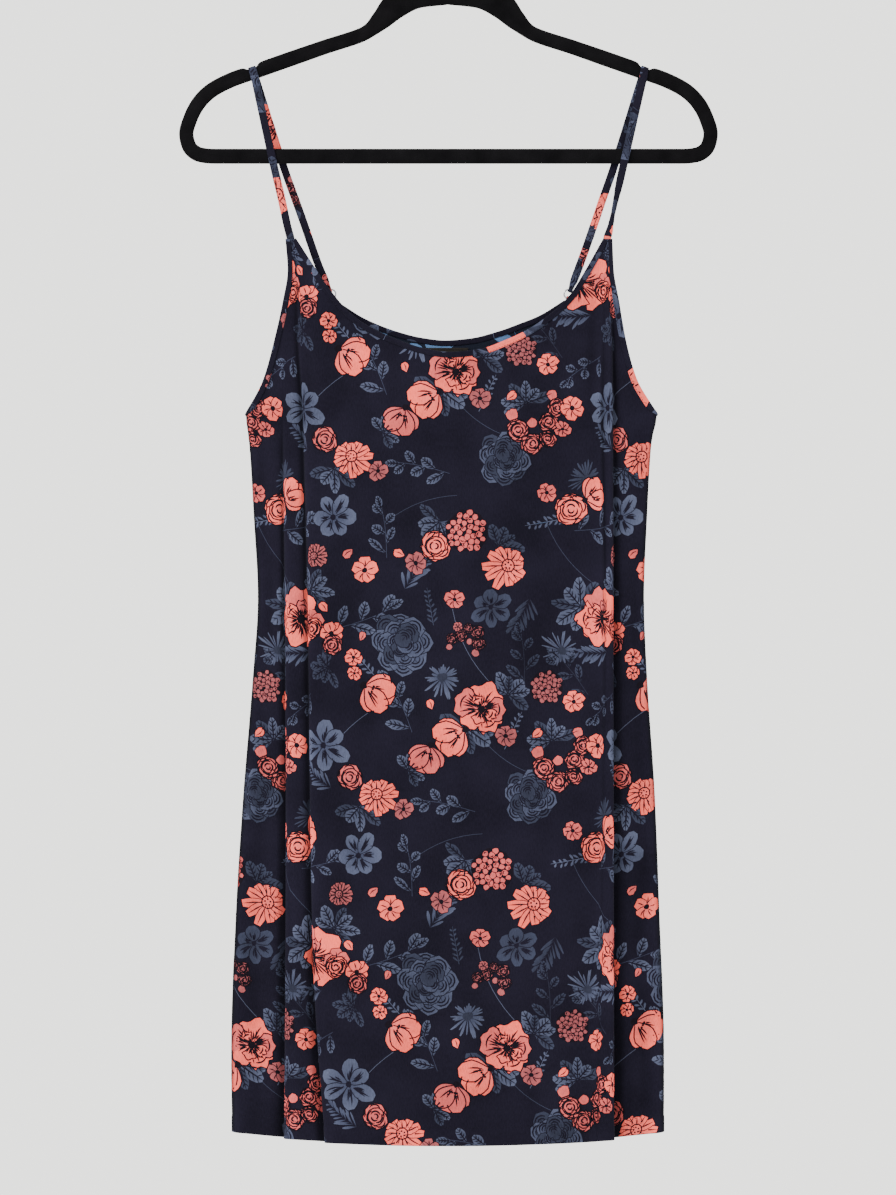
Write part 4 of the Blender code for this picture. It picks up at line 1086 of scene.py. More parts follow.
def garland(pen, inks, seed):
    """A chain of blossoms that touch, from large to small along a bent line."""
    random = chance(seed)
    for k in range(7):
        share = k / 6
        at = (1.7 * share - 0.85 + 0.16 * (-1) ** k, 0.95 - 1.9 * share + 0.24 * math.sin(4.4 * share))
        size = (0.42, 0.36, 0.4, 0.34, 0.3, 0.24, 0.18)[k]
        kind = (blossom, rose, blossom, rose, blossom, blossom, bud)[k]
        kind(pen.within(at, random.uniform(0, 6), size), inks if k % 3 else ROSE, seed + k)


def leaf(pen, inks, seed, length=1.0, width=0.36, turn=0.0, at=(0.0, 0.0)):
    """A leaf with a midrib, side veins and a brushed lighter half."""
    random = chance(seed)
    pen.fill(petal(length, width, seed, 1.0, 7, 0.09), inks[0], inks[1], turn, at, length)
    if pen.sketch.fine and length * pen.size > 7.0:
        half = petal(0.86 * length, 0.5 * width, seed + 1, 1.0, 5, 0.2) * (0.5, 1.0)
        half = half + (0.1 * width, 0.05 * length)
        pen.fill(half, inks[1], inks[0], turn, at, length)
    rib = [(0.0, 0.03 * length), (0.02 * width, 0.5 * length), (0.0, 0.96 * length)]
    pen.line(rib, 0.5, inks[2], turn, at)
    for k in range(4):
        foot = (0.18 + 0.17 * k) * length
        for side in (-1, 1):
            reach = random.uniform(0.28, 0.42)
            pen.line([(0.0, foot), (side * 0.5 * reach * width, foot + 0.07 * length),
                      (side * reach * width, foot + 0.17 * length)], 0.32, inks[2], turn, at)


def leaves(pen, inks, seed, count=5):
    """Leaves on both sides of a bent stem."""
    random = chance(seed)
    steps = np.linspace(0.0, 1.0, 7)
    bend = np.stack((0.22 * np.sin(1.7 * steps), 2.0 * steps - 1.0), 1)
    side = np.array((0.2 / pen.size, 0.0))
    pen.fill(np.concatenate((bend + side, (bend - side)[::-1])), inks[0])
    for k in range(count):
        share = (k + 0.4) / count
        at = (0.22 * math.sin(1.7 * share), 2.0 * share - 1.0)
        turn = (-1) ** k * random.uniform(0.55, 1.0)
        length = random.uniform(0.72, 0.98) * (1.1 - 0.35 * share)
        leaf(pen, inks, seed + k, length, random.uniform(0.3, 0.42), turn, at)
    leaf(pen, inks, seed + 11, 0.7, 0.3, 0.1, (0.2, 0.92))


def foliage(pen, inks, seed):
    """A fan of broad leaves round one point."""
    random = chance(seed)
    for k in random.permutation(6):
        turn = -1.7 + 0.68 * k + random.uniform(-0.15, 0.15)
        shade = inks if k % 3 else DEEP_SLATE
        leaf(pen, shade, seed + int(k), random.uniform(0.8, 1.2), random.uniform(0.36, 0.56), turn)


def brush(pen, inks, seed):
    """A feathery frond: thin blades on both sides of a bent rib, longest near its foot."""
    random = chance(seed)
    for k in range(9):
        share = k / 8
        at = (0.3 * share ** 2, 1.6 * share - 0.3)
        for side in (-1, 1):
            length = (0.95 - 0.5 * share) * random.uniform(0.7, 1.15)
            blade = petal(length, random.uniform(0.08, 0.15), seed + 3 * k + side, 1.1, 5, 0.15)
            pen.fill(blade, inks[0], inks[1], side * random.uniform(0.45, 0.85), at, 1.0)


def lily(pen, inks, seed):
    """A blue flower of separate petals with a pale rim and dark lines from the heart."""
    random = chance(seed)
    for k in range(6):
        turn = 2 * math.pi * k / 6 + random.uniform(-0.14, 0.14)
        length, width = random.uniform(0.8, 1.1), random.uniform(0.5, 0.66)
        pen.outlined(petal(length, width, seed + k, 0.8, 7, 0.07), inks, turn, (0.0, 0.0), 1.0, FINE_OUTLINE)
        veins(pen, length, 0.7 * width, inks[2], turn, (0.0, 0.0), random, 4)
    pen.fill(disc(0.12, 7, seed, 0.2), inks[2])


def peony(pen, inks, seed):
    """A big blue double flower, dense with curled petals and their lines."""
    random = chance(seed)
    for ring, (reach, count, size) in enumerate(((0.62, 8, 0.42), (0.4, 6, 0.36), (0.16, 4, 0.28))):
        for k in range(count):
            turn = 2 * math.pi * (k + 0.4 * ring) / count + random.uniform(-0.15, 0.15)
            at = reach * random.uniform(0.9, 1.1) * np.array((-math.sin(turn), math.cos(turn)))
            shade = inks if random.random() < 0.7 else DEEP_SLATE
            pen.outlined(disc(size, 9, seed + 9 * ring + k, 0.12), shade, turn, at, 0.7, FINE_OUTLINE)
            pen.line(arc(0.68 * size, 0.5, 2.1, 0.1), 0.45, inks[2], turn, at)
            pen.line(arc(0.4 * size, 0.2, 2.4, 0.2), 0.4, inks[2], turn, at)
            pen.line([(0.0, -0.2 * size), (0.1 * size, 0.5 * size)], 0.35, inks[2], turn, at)


def thistle(pen, inks, seed):
    """A spiky head: many thin blades round a dark heart, longer to one side."""
    random = chance(seed)
    for k in range(24):
        turn = 2 * math.pi * k / 24 + random.uniform(-0.12, 0.12)
        length = random.uniform(0.6, 0.95) * (1.15 + 0.3 * math.cos(turn))
        pen.fill(petal(length, random.uniform(0.07, 0.15), seed + k, 1.2, 4, 0.2), inks[0], inks[1], turn)
    pen.fill(disc(0.22, 9, seed, 0.2), DEEP_SLATE[0])


def twig(pen, inks, seed):
    """A thin twig with paired small leaves and a few fine hairs."""
    random = chance(seed)
    for k in range(7):
        at = (0.06 * math.sin(k), -0.95 + 0.3 * k)
        for side in (-1, 1):
            turn = side * random.uniform(0.6, 1.1)
            pen.fill(petal(0.5 - 0.04 * k, 0.12, seed + k, 1.2, 4), inks[1], inks[0], turn, at, 0.5)
    pen.fill([(-0.02, -1.1), (0.02, -1.1), (0.01, 1.15), (-0.01, 1.15)], inks[1])


def stem(pen, inks, seed):
    """One long thin curved stem."""
    steps = np.linspace(-1.0, 1.0, 9)
    bend = np.stack((0.16 * steps ** 2, steps), 1)
    side = np.array((0.26 / pen.size, 0.0))
    pen.fill(np.concatenate((bend + side, (bend - 0.6 * side)[::-1])), inks[1])


# One repeat of the print: motif, place across and up, radius, turn in degrees, ink and seed
REPEAT_WIDTH = 264.0
REPEAT_HEIGHT = 278.0
REPEAT_SHIFT = 21.0
MOTIFS = (
    (stem, 26, 214, 34, 40, DEEP_SLATE, 1),
    (stem, 118, 84, 40, -52, SLATE, 2),
    (stem, 206, 140, 36, 28, SLATE, 3),
    (stem, 168, 262, 30, -70, DEEP_SLATE, 4),
    (stem, 244, 46, 28, 60, DEEP_SLATE, 5),
    (foliage, 36, 176, 24, 60, SLATE, 14),
    (foliage, 76, 190, 20, -40, SLATE, 15),
    (foliage, 184, 246, 22, 150, SLATE, 16),
    (foliage, 232, 226, 20, -70, DEEP_SLATE, 17),
    (foliage, 206, 76, 22, 170, SLATE, 18),
    (foliage, 240, 104, 20, -30, SLATE, 19),
    (foliage, 12, 66, 20, 20, SLATE, 60),
    (foliage, 118, 12, 21, 200, SLATE, 61),
    (foliage, 92, 126, 17, 100, DEEP_SLATE, 62),
    (foliage, 158, 42, 17, -60, SLATE, 63),
    (brush, 60, 138, 19, 100, SLATE, 64),
    (brush, 158, 196, 20, -30, SLATE, 65),
    (brush, 256, 178, 18, 160, DEEP_SLATE, 66),
    (brush, 90, 30, 17, 60, SLATE, 67),
    (leaves, 118, 168, 24, -64, SLATE, 6),
    (leaves, 150, 92, 22, 30, SLATE, 7),
    (leaves, 250, 132, 20, 10, DEEP_SLATE, 8),
    (leaves, 52, 244, 22, -76, SLATE, 9),
    (leaves, 28, 118, 20, 44, DEEP_SLATE, 10),
    (leaves, 192, 10, 21, 84, SLATE, 11),
    (leaves, 136, 236, 20, 12, SLATE, 12),
    (leaves, 62, 94, 17, 130, SLATE, 13),
    (peony, 152, 146, 25, 0, SLATE, 27),
    (peony, 258, 20, 22, 40, SLATE, 28),
    (lily, 88, 62, 24, 0, SLATE, 29),
    (lily, 96, 250, 21, 30, SLATE, 30),
    (lily, 226, 176, 19, 60, DEEP_SLATE, 31),
    (thistle, 20, 140, 17, 30, SLATE, 20),
    (thistle, 186, 118, 18, 190, SLATE, 21),
    (thistle, 62, 4, 16, 80, DEEP_SLATE, 22),
    (twig, 128, 122, 17, 40, SLATE, 23),
    (twig, 244, 74, 15, -25, SLATE, 24),
    (twig, 8, 246, 16, 100, SLATE, 25),
    (twig, 176, 176, 14, 10, DEEP_SLATE, 26),
    (poppy, 56, 166, 26, 15, CORAL, 33),
    (garland, 100, 140, 27, 8, CORAL, 34),
    (cup, 134, 104, 17, -120, CORAL, 35),
    (bud, 88, 176, 5, 40, CORAL, 36),
    (bud, 120, 152, 4, -20, ROSE, 37),
    (cluster, 206, 238, 18, 0, ROSE, 38),
    (rose, 180, 226, 14, 20, CORAL, 39),
    (blossom, 164, 212, 10, 50, DUSTY, 40),
    (daisy, 240, 210, 20, -60, CORAL, 41),
    (bud, 150, 220, 5, 70, CORAL, 42),
    (poppy, 218, 92, 21, 60, CORAL, 43),
    (cup, 192, 68, 17, 120, CORAL, 44),
    (cup, 172, 50, 15, 160, ROSE, 45),
    (blossom, 238, 70, 10, 0, DUSTY, 46),
    (bunch, 22, 44, 25, 0, ROSE, 47),
    (blossom, 50, 62, 11, 30, CORAL, 48),
    (bud, 0, 72, 5, -50, CORAL, 49),
    (daisy, 132, 22, 18, 30, CORAL, 50),
    (rose, 110, 36, 12, 70, ROSE, 51),
    (blossom, 154, 10, 9, 0, DUSTY, 52),
    (cluster, 8, 110, 14, 0, DUSTY, 53),
    (blossom, 30, 98, 10, 10, CORAL, 54),
    (rose, 28, 256, 15, 0, CORAL, 55),
    (cup, 50, 270, 14, -60, CORAL, 56),
    (blossom, 8, 270, 9, 20, ROSE, 57),
    (blossom, 122, 206, 12, 0, CORAL, 58),
    (bud, 108, 220, 5, 130, ROSE, 59),
    (daisy, 80, 218, 12, 100, DUSTY, 70),
    (blossom, 196, 182, 9, 0, ROSE, 73),
    (bud, 176, 96, 4.5, 20, CORAL, 75),
    (bunch, 208, 152, 15, 140, DUSTY, 76),
)


def draw_print(low, high, fine=True):
    """The sketch of the repeats that reach into a flat box of cloth."""
    sketch = Sketch(fine)
    margin = 50.0
    first_row = int(math.floor((low[1] - margin) / REPEAT_HEIGHT)) - 1
    last_row = int(math.ceil((high[1] + margin) / REPEAT_HEIGHT))
    for motif, x, y, radius, degrees, inks, seed in MOTIFS:
        for row in range(first_row, last_row + 1):
            up = y + row * REPEAT_HEIGHT
            if not low[1] - 2.2 * radius < up < high[1] + 2.2 * radius:
                continue
            start = x - row * REPEAT_SHIFT
            repeat = math.ceil((low[0] - 2.2 * radius - start) / REPEAT_WIDTH)
            while start + repeat * REPEAT_WIDTH < high[0] + 2.2 * radius:
                place = (start + repeat * REPEAT_WIDTH, up)
                motif(Pen(sketch, place, math.radians(degrees), radius), inks, seed)
                repeat += 1
    return sketch


# The columns of the folds stay whole lines in the printed mesh
def edges_of(rows, columns, kept):
    """Vertical lines that no triangle may cross, so that folds stay round."""
    edges = []
    for c in kept:
        edges += [(r * columns + c, (r + 1) * columns + c) for r in range(rows - 1)]
    return edges


def printed_mesh(name, cloth, sketch, ground, kept, tint=None, lines_apart=False):
    """Cut the drawn shapes into the cloth's own surface and colour each face with its ink."""
    rows, columns = cloth.form.shape[:2]
    spots = cloth.flat.reshape(-1, 2)
    rim = list(range(columns)) + [r * columns + columns - 1 for r in range(1, rows)]
    rim += [(rows - 1) * columns + c for c in range(columns - 2, -1, -1)]
    rim += [r * columns for r in range(rows - 2, 0, -1)]
    points = [Vector(spot) for spot in spots]
    faces = [rim]
    low, high = spots.min(axis=0), spots.max(axis=0)
    drawn, places = [], [0]
    for place, shape in enumerate(sketch.shapes):
        outline = shape[0]
        if (outline.max(axis=0) < low).any() or (outline.min(axis=0) > high).any():
            continue
        x, y = outline[:, 0], outline[:, 1]
        around = np.dot(x, np.roll(y, -1)) - np.dot(y, np.roll(x, -1))
        outline = outline if around > 0 else outline[::-1]
        faces.append(list(range(len(points), len(points) + len(outline))))
        points += [Vector(spot) for spot in outline]
        drawn.append(shape)
        places.append(place + 1)
    result = delaunay_2d_cdt(points, edges_of(rows, columns, kept), faces, 0, 1e-4, True)
    made, triangles, within = result[0], result[2], result[5]
    inside = [k for k, owners in enumerate(within) if 0 in owners]
    triangles = np.array([triangles[k] for k in inside])
    top = np.array([max(within[k]) for k in inside])
    made = np.array([(v.x, v.y) for v in made])
    used, triangles = np.unique(triangles, return_inverse=True)
    triangles = triangles.reshape(-1, 3)
    made = made[used]
    colors = np.tile(np.array(ground, float), (len(triangles), 3, 1))
    if drawn:
        near = np.array([shape[1] for shape in drawn], float)
        far = np.array([shape[2] for shape in drawn], float)
        heart = np.array([shape[3] for shape in drawn], float)
        reach = np.array([shape[4] for shape in drawn], float)
        inked = top > 0
        owner = top[inked] - 1
        spots = made[triangles[inked]]
        away = np.linalg.norm(spots - heart[owner][:, None, :], axis=2) / reach[owner][:, None]
        share = np.clip(away * 1.15 - 0.1, 0.0, 1.0)[:, :, None]
        colors[inked] = near[owner][:, None, :] * (1 - share) + far[owner][:, None, :] * share
    if tint is not None:
        colors = tint(colors)
    spots, bands, inks = drawn_lines(made, triangles, np.array(places)[top], sketch.strokes)
    if lines_apart:
        return (inked_piece(name, cloth, made, triangles, colors, np.zeros(len(made))),
                inked_piece(name + "_drawn_lines", cloth, spots, bands, inks, np.full(len(spots), LINE_LIFT)))
    lift = np.repeat((0.0, LINE_LIFT), (len(made), len(spots)))
    triangles = np.concatenate((triangles, bands + len(made)))
    colors = np.concatenate((colors, inks))
    return inked_piece(name, cloth, np.concatenate((made, spots)), triangles, colors, lift)


def drawn_lines(flat, triangles, order, strokes):
    """Places, faces and inks of the drawn lines, where no ink printed later covers them."""
    tree = BVHTree.FromPolygons([Vector((s, t, 0.0)) for s, t in flat], triangles.tolist())
    low, high = flat.min(axis=0), flat.max(axis=0)
    points, faces, inks = [], [], []
    for one, other, ink, under in strokes:
        if (one.max(axis=0) < low).any() or (one.min(axis=0) > high).any():
            continue
        first, count = len(points), len(one)
        points += list(one) + list(other)
        for k, (s, t) in enumerate(0.25 * (one[:-1] + one[1:] + other[:-1] + other[1:])):
            found = tree.find_nearest(Vector((s, t, 0.0)), LINE_HOLD)[2]
            if found is not None and order[found] <= under:
                a, b = first + k, first + count + k
                faces += [(a, a + 1, b + 1), (a, b + 1, b)]
                inks += [ink, ink]
    if not faces:
        return np.zeros((0, 2)), np.zeros((0, 3), int), np.zeros((0, 3, 3))
    used, faces = np.unique(faces, return_inverse=True)
    inks = np.repeat(np.array(inks, float)[:, None, :], 3, axis=1)
    return np.array(points)[used], faces.reshape(-1, 3), inks


def inked_piece(name, cloth, flat, triangles, colors, lift):
    """Lay flat faces on the cloth's form, a lift above it, with painted shade in the hollows and painted
    light on the ridges.
    """
    corners, shares = cloth.weigh(flat)
    where, normals = cloth.read(corners, shares)
    where = where + normals * lift[:, None]
    # Painted shade and light: the ink colours are darkened in the fold hollows and lightened on the ridges
    shade = (shares * cloth.shade.ravel()[corners]).sum(axis=1)
    colors = colors * shade[triangles][:, :, None]
    first, second, third = (where[triangles[:, k]] for k in range(3))
    facing = np.cross(second - first, third - first)
    wrong = (facing * normals[triangles].sum(axis=1)).sum(axis=1) < 0
    triangles[wrong] = triangles[wrong][:, ::-1]
    colors[wrong] = colors[wrong][:, ::-1]
    return mesh_object(name, where, triangles, normals, colors, flat)


def mesh_object(name, points, faces, normals=None, colors=None, flat=None):
    """A smooth mesh from millimetres, with its own normals, ink colours and flat coordinates."""
    mesh = bpy.data.meshes.new(name)
    mesh.from_pydata((np.asarray(points) * MM).tolist(), [], [list(map(int, face)) for face in faces])
    mesh.shade_smooth()
    loops = np.zeros(len(mesh.loops), int)
    mesh.loops.foreach_get("vertex_index", loops)
    if colors is not None:
        layer = mesh.color_attributes.new("ink", "FLOAT_COLOR", "CORNER")
        values = np.concatenate((colors.reshape(-1, 3), np.ones((len(loops), 1))), axis=1)
        layer.data.foreach_set("color", values.ravel())
    if flat is not None:
        layer = mesh.uv_layers.new(name="cloth")
        layer.data.foreach_set("uv", (np.asarray(flat)[loops] * MM).ravel())
    if normals is not None:
        mesh.normals_split_custom_set_from_vertices(np.asarray(normals).tolist())
    piece = bpy.data.objects.new(name, mesh)
    bpy.context.collection.objects.link(piece)
    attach(piece, "root")
    return piece


def grid_faces(rows, columns, closed_rows=False, closed_columns=False):
    faces = []
    for r in range(rows if closed_rows else rows - 1):
        for c in range(columns if closed_columns else columns - 1):
            a, b = r * columns + c, r * columns + (c + 1) % columns
            s = (r + 1) % rows * columns
            faces.append((a, b, s + (c + 1) % columns, s + c))
    return faces


def strip_cloth(form, outward=1.0):
    """Lay a narrow strip of cloth out flat: along it, and across its section."""
    steps_up = np.linalg.norm(np.diff(form, axis=0), axis=2).mean(axis=1)
    steps_across = np.linalg.norm(np.diff(form, axis=1), axis=2).mean(axis=0)
    up = np.concatenate(([0.0], np.cumsum(steps_up)))
    across = np.concatenate(([0.0], np.cumsum(steps_across)))
    flat = np.stack(np.meshgrid(across, up), axis=2)
    return ClothForm(form, flat, outward)


def smooth_rows(rows, per):
    """Finer rows on a smooth curve through the given ones."""
    rows = np.asarray(rows, float)
    padded = np.concatenate((2 * rows[:1] - rows[1:2], rows, 2 * rows[-1:] - rows[-2:-1]))
    made = []
    for i in range(len(rows) - 1):
        a, b, c, d = padded[i:i + 4]
        for u in np.arange(per) / per:
            made.append(0.5 * (2 * b + (c - a) * u + (2 * a - 5 * b + 4 * c - d) * u * u
                               + (3 * b - 3 * c + d - a) * u ** 3))
    made.append(rows[-1])
    return np.array(made)


# Materials
def new_material(name):
    material = bpy.data.materials.new(name)
    material.use_nodes = True
    tree = material.node_tree
    return material, tree, tree.nodes["Principled BSDF"]


def node(tree, kind, values=(), **settings):
    made = tree.nodes.new(kind)
    for key, value in settings.items():
        setattr(made, key, value)
    for socket, value in values:
        if isinstance(value, bpy.types.NodeSocket):
            tree.links.new(value, made.inputs[socket])
        else:
            made.inputs[socket].default_value = value
    return made


def noise(tree, place, scale, detail=2.0, roughness=0.5):
    values = [("Vector", place), ("Scale", scale), ("Detail", detail), ("Roughness", roughness)]
    return node(tree, "ShaderNodeTexNoise", values).outputs["Fac"]


def waves(tree, place, scale, distortion, direction):
    values = [("Vector", place), ("Scale", scale), ("Distortion", distortion)]
    return node(tree, "ShaderNodeTexWave", values, bands_direction=direction).outputs["Fac"]


def combined(tree, one, other, operation):
    return node(tree, "ShaderNodeMath", [(0, one), (1, other)], operation=operation).outputs[0]


def in_range(tree, value, from_min, from_max, to_min, to_max):
    return node(tree, "ShaderNodeMapRange", [
        ("Value", value), ("From Min", from_min), ("From Max", from_max),
        ("To Min", to_min), ("To Max", to_max),
    ]).outputs[0]


def ramp(tree, value, low, high, start=0.0, end=1.0):
    """A colour between two by a value."""
    made = node(tree, "ShaderNodeValToRGB", [("Fac", value)])
    for element, color, position in zip(made.color_ramp.elements, (low, high), (start, end)):
        element.position = position
        element.color = (*color, 1.0)
    return made.outputs["Color"]


def set_values(shader, tree, values):
    """Give a shader's sockets their values or links."""
    for socket, value in values:
        if isinstance(value, bpy.types.NodeSocket):
            tree.links.new(value, shader.inputs[socket])
        else:
            shader.inputs[socket].default_value = value


def bumped(tree, heights):
    """A chain of bumps from (height socket, strength, distance in metres)."""
    normal = None
    for height, strength, distance in heights:
        values = [("Height", height), ("Strength", strength), ("Distance", distance)]
        if normal is not None:
            values.append(("Normal", normal))
        normal = node(tree, "ShaderNodeBump", values).outputs["Normal"]
    return normal


def cloth_material(name, mottle, sheen):
    """Matte crinkled viscose: ink from the mesh, mottled threads, a fine weave and soft crinkles."""
    material, tree, shader = new_material(name)
    ink = node(tree, "ShaderNodeVertexColor", layer_name="ink").outputs["Color"]
    place = node(tree, "ShaderNodeTexCoord").outputs["Object"]
    flat = node(tree, "ShaderNodeUVMap", uv_map="cloth").outputs["UV"]
    drawn_out = [("Vector", flat), ("Scale", (1.0, 0.32, 1.0))]
    threads = node(tree, "ShaderNodeMapping", drawn_out).outputs["Vector"]
    slubs = noise(tree, threads, 900.0, 3.0, 0.65)
    clouds = noise(tree, place, 26.0)
    mixed = combined(tree, slubs, clouds, "ADD")
    shade = in_range(tree, mixed, 0.7, 1.3, 1.0 - mottle, 1.0 + mottle)
    shaded = node(tree, "ShaderNodeVectorMath", [(0, ink), ("Scale", shade)], operation="SCALE").outputs[0]
    weft = waves(tree, flat, 820.0, 1.2, "Y")
    warp = waves(tree, flat, 820.0, 1.2, "X")
    weave = combined(tree, weft, warp, "MULTIPLY")
    crinkle = noise(tree, threads, 210.0, 3.0, 0.6)
    soft = noise(tree, threads, 42.0)
    normal = bumped(tree, ((soft, 0.5, 0.0016), (crinkle, 0.55, 0.0005), (weave, 0.35, 0.00012)))
    set_values(shader, tree, (
        ("Base Color", shaded), ("Normal", normal), ("Roughness", 0.86), ("Specular IOR Level", 0.04),
        ("Sheen Weight", sheen), ("Sheen Roughness", 0.5), ("Sheen Tint", (0.75, 0.8, 0.95, 1.0)),
    ))
    return material


def flock_material():
    """Black flock: very matte, with a soft bright pile at grazing angles."""
    material, tree, shader = new_material("black_flock")
    place = node(tree, "ShaderNodeTexCoord").outputs["Object"]
    pile = noise(tree, place, 1600.0, 3.0, 0.7)
    worn = noise(tree, place, 60.0, 4.0)
    both = combined(tree, pile, worn, "MULTIPLY")
    tone = ramp(tree, both, (0.0030, 0.0028, 0.0033), (0.0080, 0.0075, 0.0086), 0.12, 0.5)
    set_values(shader, tree, (
        ("Base Color", tone), ("Normal", bumped(tree, ((worn, 0.25, 0.0006), (pile, 0.7, 0.00035)))),
        ("Roughness", 0.95), ("Specular IOR Level", 0.03), ("Sheen Weight", 0.012), ("Sheen Roughness", 0.45),
    ))
    return material


def metal_material():
    """Polished wire with faint drawing marks and small dull spots."""
    material, tree, shader = new_material("bright_wire")
    place = node(tree, "ShaderNodeTexCoord").outputs["Object"]
    marks = noise(tree, place, 420.0, 4.0)
    set_values(shader, tree, (
        ("Roughness", in_range(tree, marks, 0.3, 0.7, 0.12, 0.3)),
        ("Base Color", ramp(tree, marks, (0.40, 0.40, 0.42), (0.60, 0.60, 0.61))),
        ("Normal", bumped(tree, ((marks, 0.15, 0.0001),))), ("Metallic", 1.0),
    ))
    return material


def thread_material(name, color):
    """Twisted sewing thread."""
    material, tree, shader = new_material(name)
    place = node(tree, "ShaderNodeTexCoord").outputs["Object"]
    twist = noise(tree, place, 2400.0)
    set_values(shader, tree, (
        ("Base Color", ramp(tree, twist, [0.6 * c for c in color], [1.3 * c for c in color])),
        ("Normal", bumped(tree, ((twist, 0.4, 0.0001),))), ("Roughness", 0.7), ("Specular IOR Level", 0.1),
    ))
    return material


def label_material():
    """Dark woven tape with a ribbed weave."""
    material, tree, shader = new_material("label_tape")
    place = node(tree, "ShaderNodeTexCoord").outputs["Object"]
    rib = waves(tree, place, 700.0, 0.8, "X")
    slub = noise(tree, place, 500.0, 3.0)
    set_values(shader, tree, (
        ("Base Color", ramp(tree, slub, (0.011, 0.0095, 0.0085), (0.022, 0.0185, 0.016))),
        ("Normal", bumped(tree, ((rib, 0.5, 0.00015),))), ("Roughness", 0.75), ("Specular IOR Level", 0.08),
    ))
    return material


def plain_stage_material(name, color):
    material, tree, shader = new_material(name)
    place = node(tree, "ShaderNodeTexCoord").outputs["Object"]
    grain = noise(tree, place, 40.0)
    tone = ramp(tree, grain, color, [min(1.02 * c, 1.0) for c in color])
    set_values(shader, tree, (("Base Color", tone), ("Roughness", 0.9)))
    return material


# Columns of the fine panels in each zone, from the left edge to the right
FRONT_COUNTS = (8, 9, 22, 7, 24, 78, 14, 6, 26, 9, 8)
BACK_COUNTS = (8, 15, 14, 15, 12, 24, 12, 18, 14, 14, 8)
SIDE_ZONES = (0, 10)
SHEET = 0.35


def kept_columns(counts, folds):
    """Columns of the folds and side edges, which stay whole lines in the mesh."""
    starts = np.concatenate(([0], np.cumsum(counts)))
    kept = []
    for zone in folds + SIDE_ZONES:
        kept += range(starts[zone] + (zone > 0), starts[zone + 1])
    return sorted(c for c in kept if 0 < c < starts[-1])


def inner_cloth(cloth, depth):
    """The wrong side of a cloth form, set in from its right side."""
    inner = ClothForm.__new__(ClothForm)
    inner.form = cloth.form - cloth.normals * depth
    inner.flat = cloth.flat
    inner.normals = -cloth.normals
    inner.triangles = cloth.triangles
    inner.tree = cloth.tree
    # The wrong side carries the same painted shade and light as the right side
    inner.shade = cloth.shade
    return inner


def dress_panel(name, node_name, panel, creases, counts, folds, offset, material, reverse_material):
    cloth, levels = panel_form(panel, creases, counts, folds)
    low, high = cloth.flat.min(axis=(0, 1)), cloth.flat.max(axis=(0, 1))
    kept = kept_columns(counts, folds)
    sketch = draw_print(low - offset, high - offset).cut_at(0.0, -offset)
    outer, lines = printed_mesh(name, cloth, sketch, NAVY, kept, lines_apart=True)
    outer.data.materials.append(material)
    lines.data.materials.append(material)
    plain = draw_print(low - offset, high - offset, fine=False).cut_at(0.0, -offset)
    plain.shapes = [shape for shape in plain.shapes if np.ptp(shape[0], axis=0).max() > SEEN_THROUGH]
    inner = printed_mesh(name + "_wrong_side", inner_cloth(cloth, SHEET), plain, NAVY, kept, paler)
    inner.data.materials.append(reverse_material)
    rim = hem_rim(name + "_hem_edge", cloth, material)
    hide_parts(node_name)
    return cloth, levels


def paler(colors):
    """The wrong side shows the print through the cloth, paler and bluer."""
    strength = np.clip((colors.mean(axis=2, keepdims=True) - 0.012) * 14.0, 0.0, 1.0)
    shown = np.array((0.095, 0.185, 0.36)) + 0.05 * colors
    return (1 - strength) * np.array(REVERSE_GROUND) + strength * shown


def hem_rim(name, cloth, material):
    """The turned lower edge that joins the two sides of the cloth."""
    row, normals = cloth.form[0], cloth.normals[0]
    drop = np.array((0.0, 0.0, -0.25))
    near, far = row - normals * 0.3 * SHEET + drop, row - normals * 0.7 * SHEET + drop
    form = np.stack((row, near, far, row - normals * SHEET))
    faces = [face[::-1] for face in grid_faces(len(form), form.shape[1])]
    colors = np.tile(np.array(NAVY), (4 * len(faces), 1))
    flat = np.repeat(cloth.flat[:1], 4, 0).reshape(-1, 2)
    rim = mesh_object(name, form.reshape(-1, 3), faces, None, colors, flat)
    rim.data.materials.append(material)
    return rim


def into_cloth(line, inside):
    """Directions into the cloth from places along an edge of the flat cloth."""
    along = unit(np.gradient(line, axis=0))
    inward = np.stack((-along[:, 1], along[:, 0]), axis=1)
    toward = (inside - line) * inward
    inward[toward.sum(axis=1) < 0] *= -1
    return inward


# A binding's section: distance in from the edge, height over the right side, and reach off the edge
BINDING_SECTION = (
    (3.9, 0.08, 0.0), (3.85, 0.5, 0.0), (3.4, 0.78, 0.0), (2.6, 0.72, 0.0), (1.9, 0.66, 0.0),
    (1.2, 0.74, 0.0), (0.5, 0.8, 0.0), (0.0, 0.78, 0.3), (0.0, 0.55, 0.75), (0.0, 0.1, 1.0),
    (0.0, -0.4, 1.0), (0.0, -0.85, 0.75), (0.0, -1.1, 0.3), (0.6, -1.12, 0.0), (1.8, -1.05, 0.0),
    (3.0, -1.05, 0.0), (3.6, -0.95, 0.0), (3.8, -0.5, 0.0),
)
PUCKER_PITCH = 6.5


def run_lengths(points):
    """How far along a line each of its points lies."""
    return np.concatenate(([0.0], np.cumsum(np.linalg.norm(np.diff(points, axis=0), axis=1))))


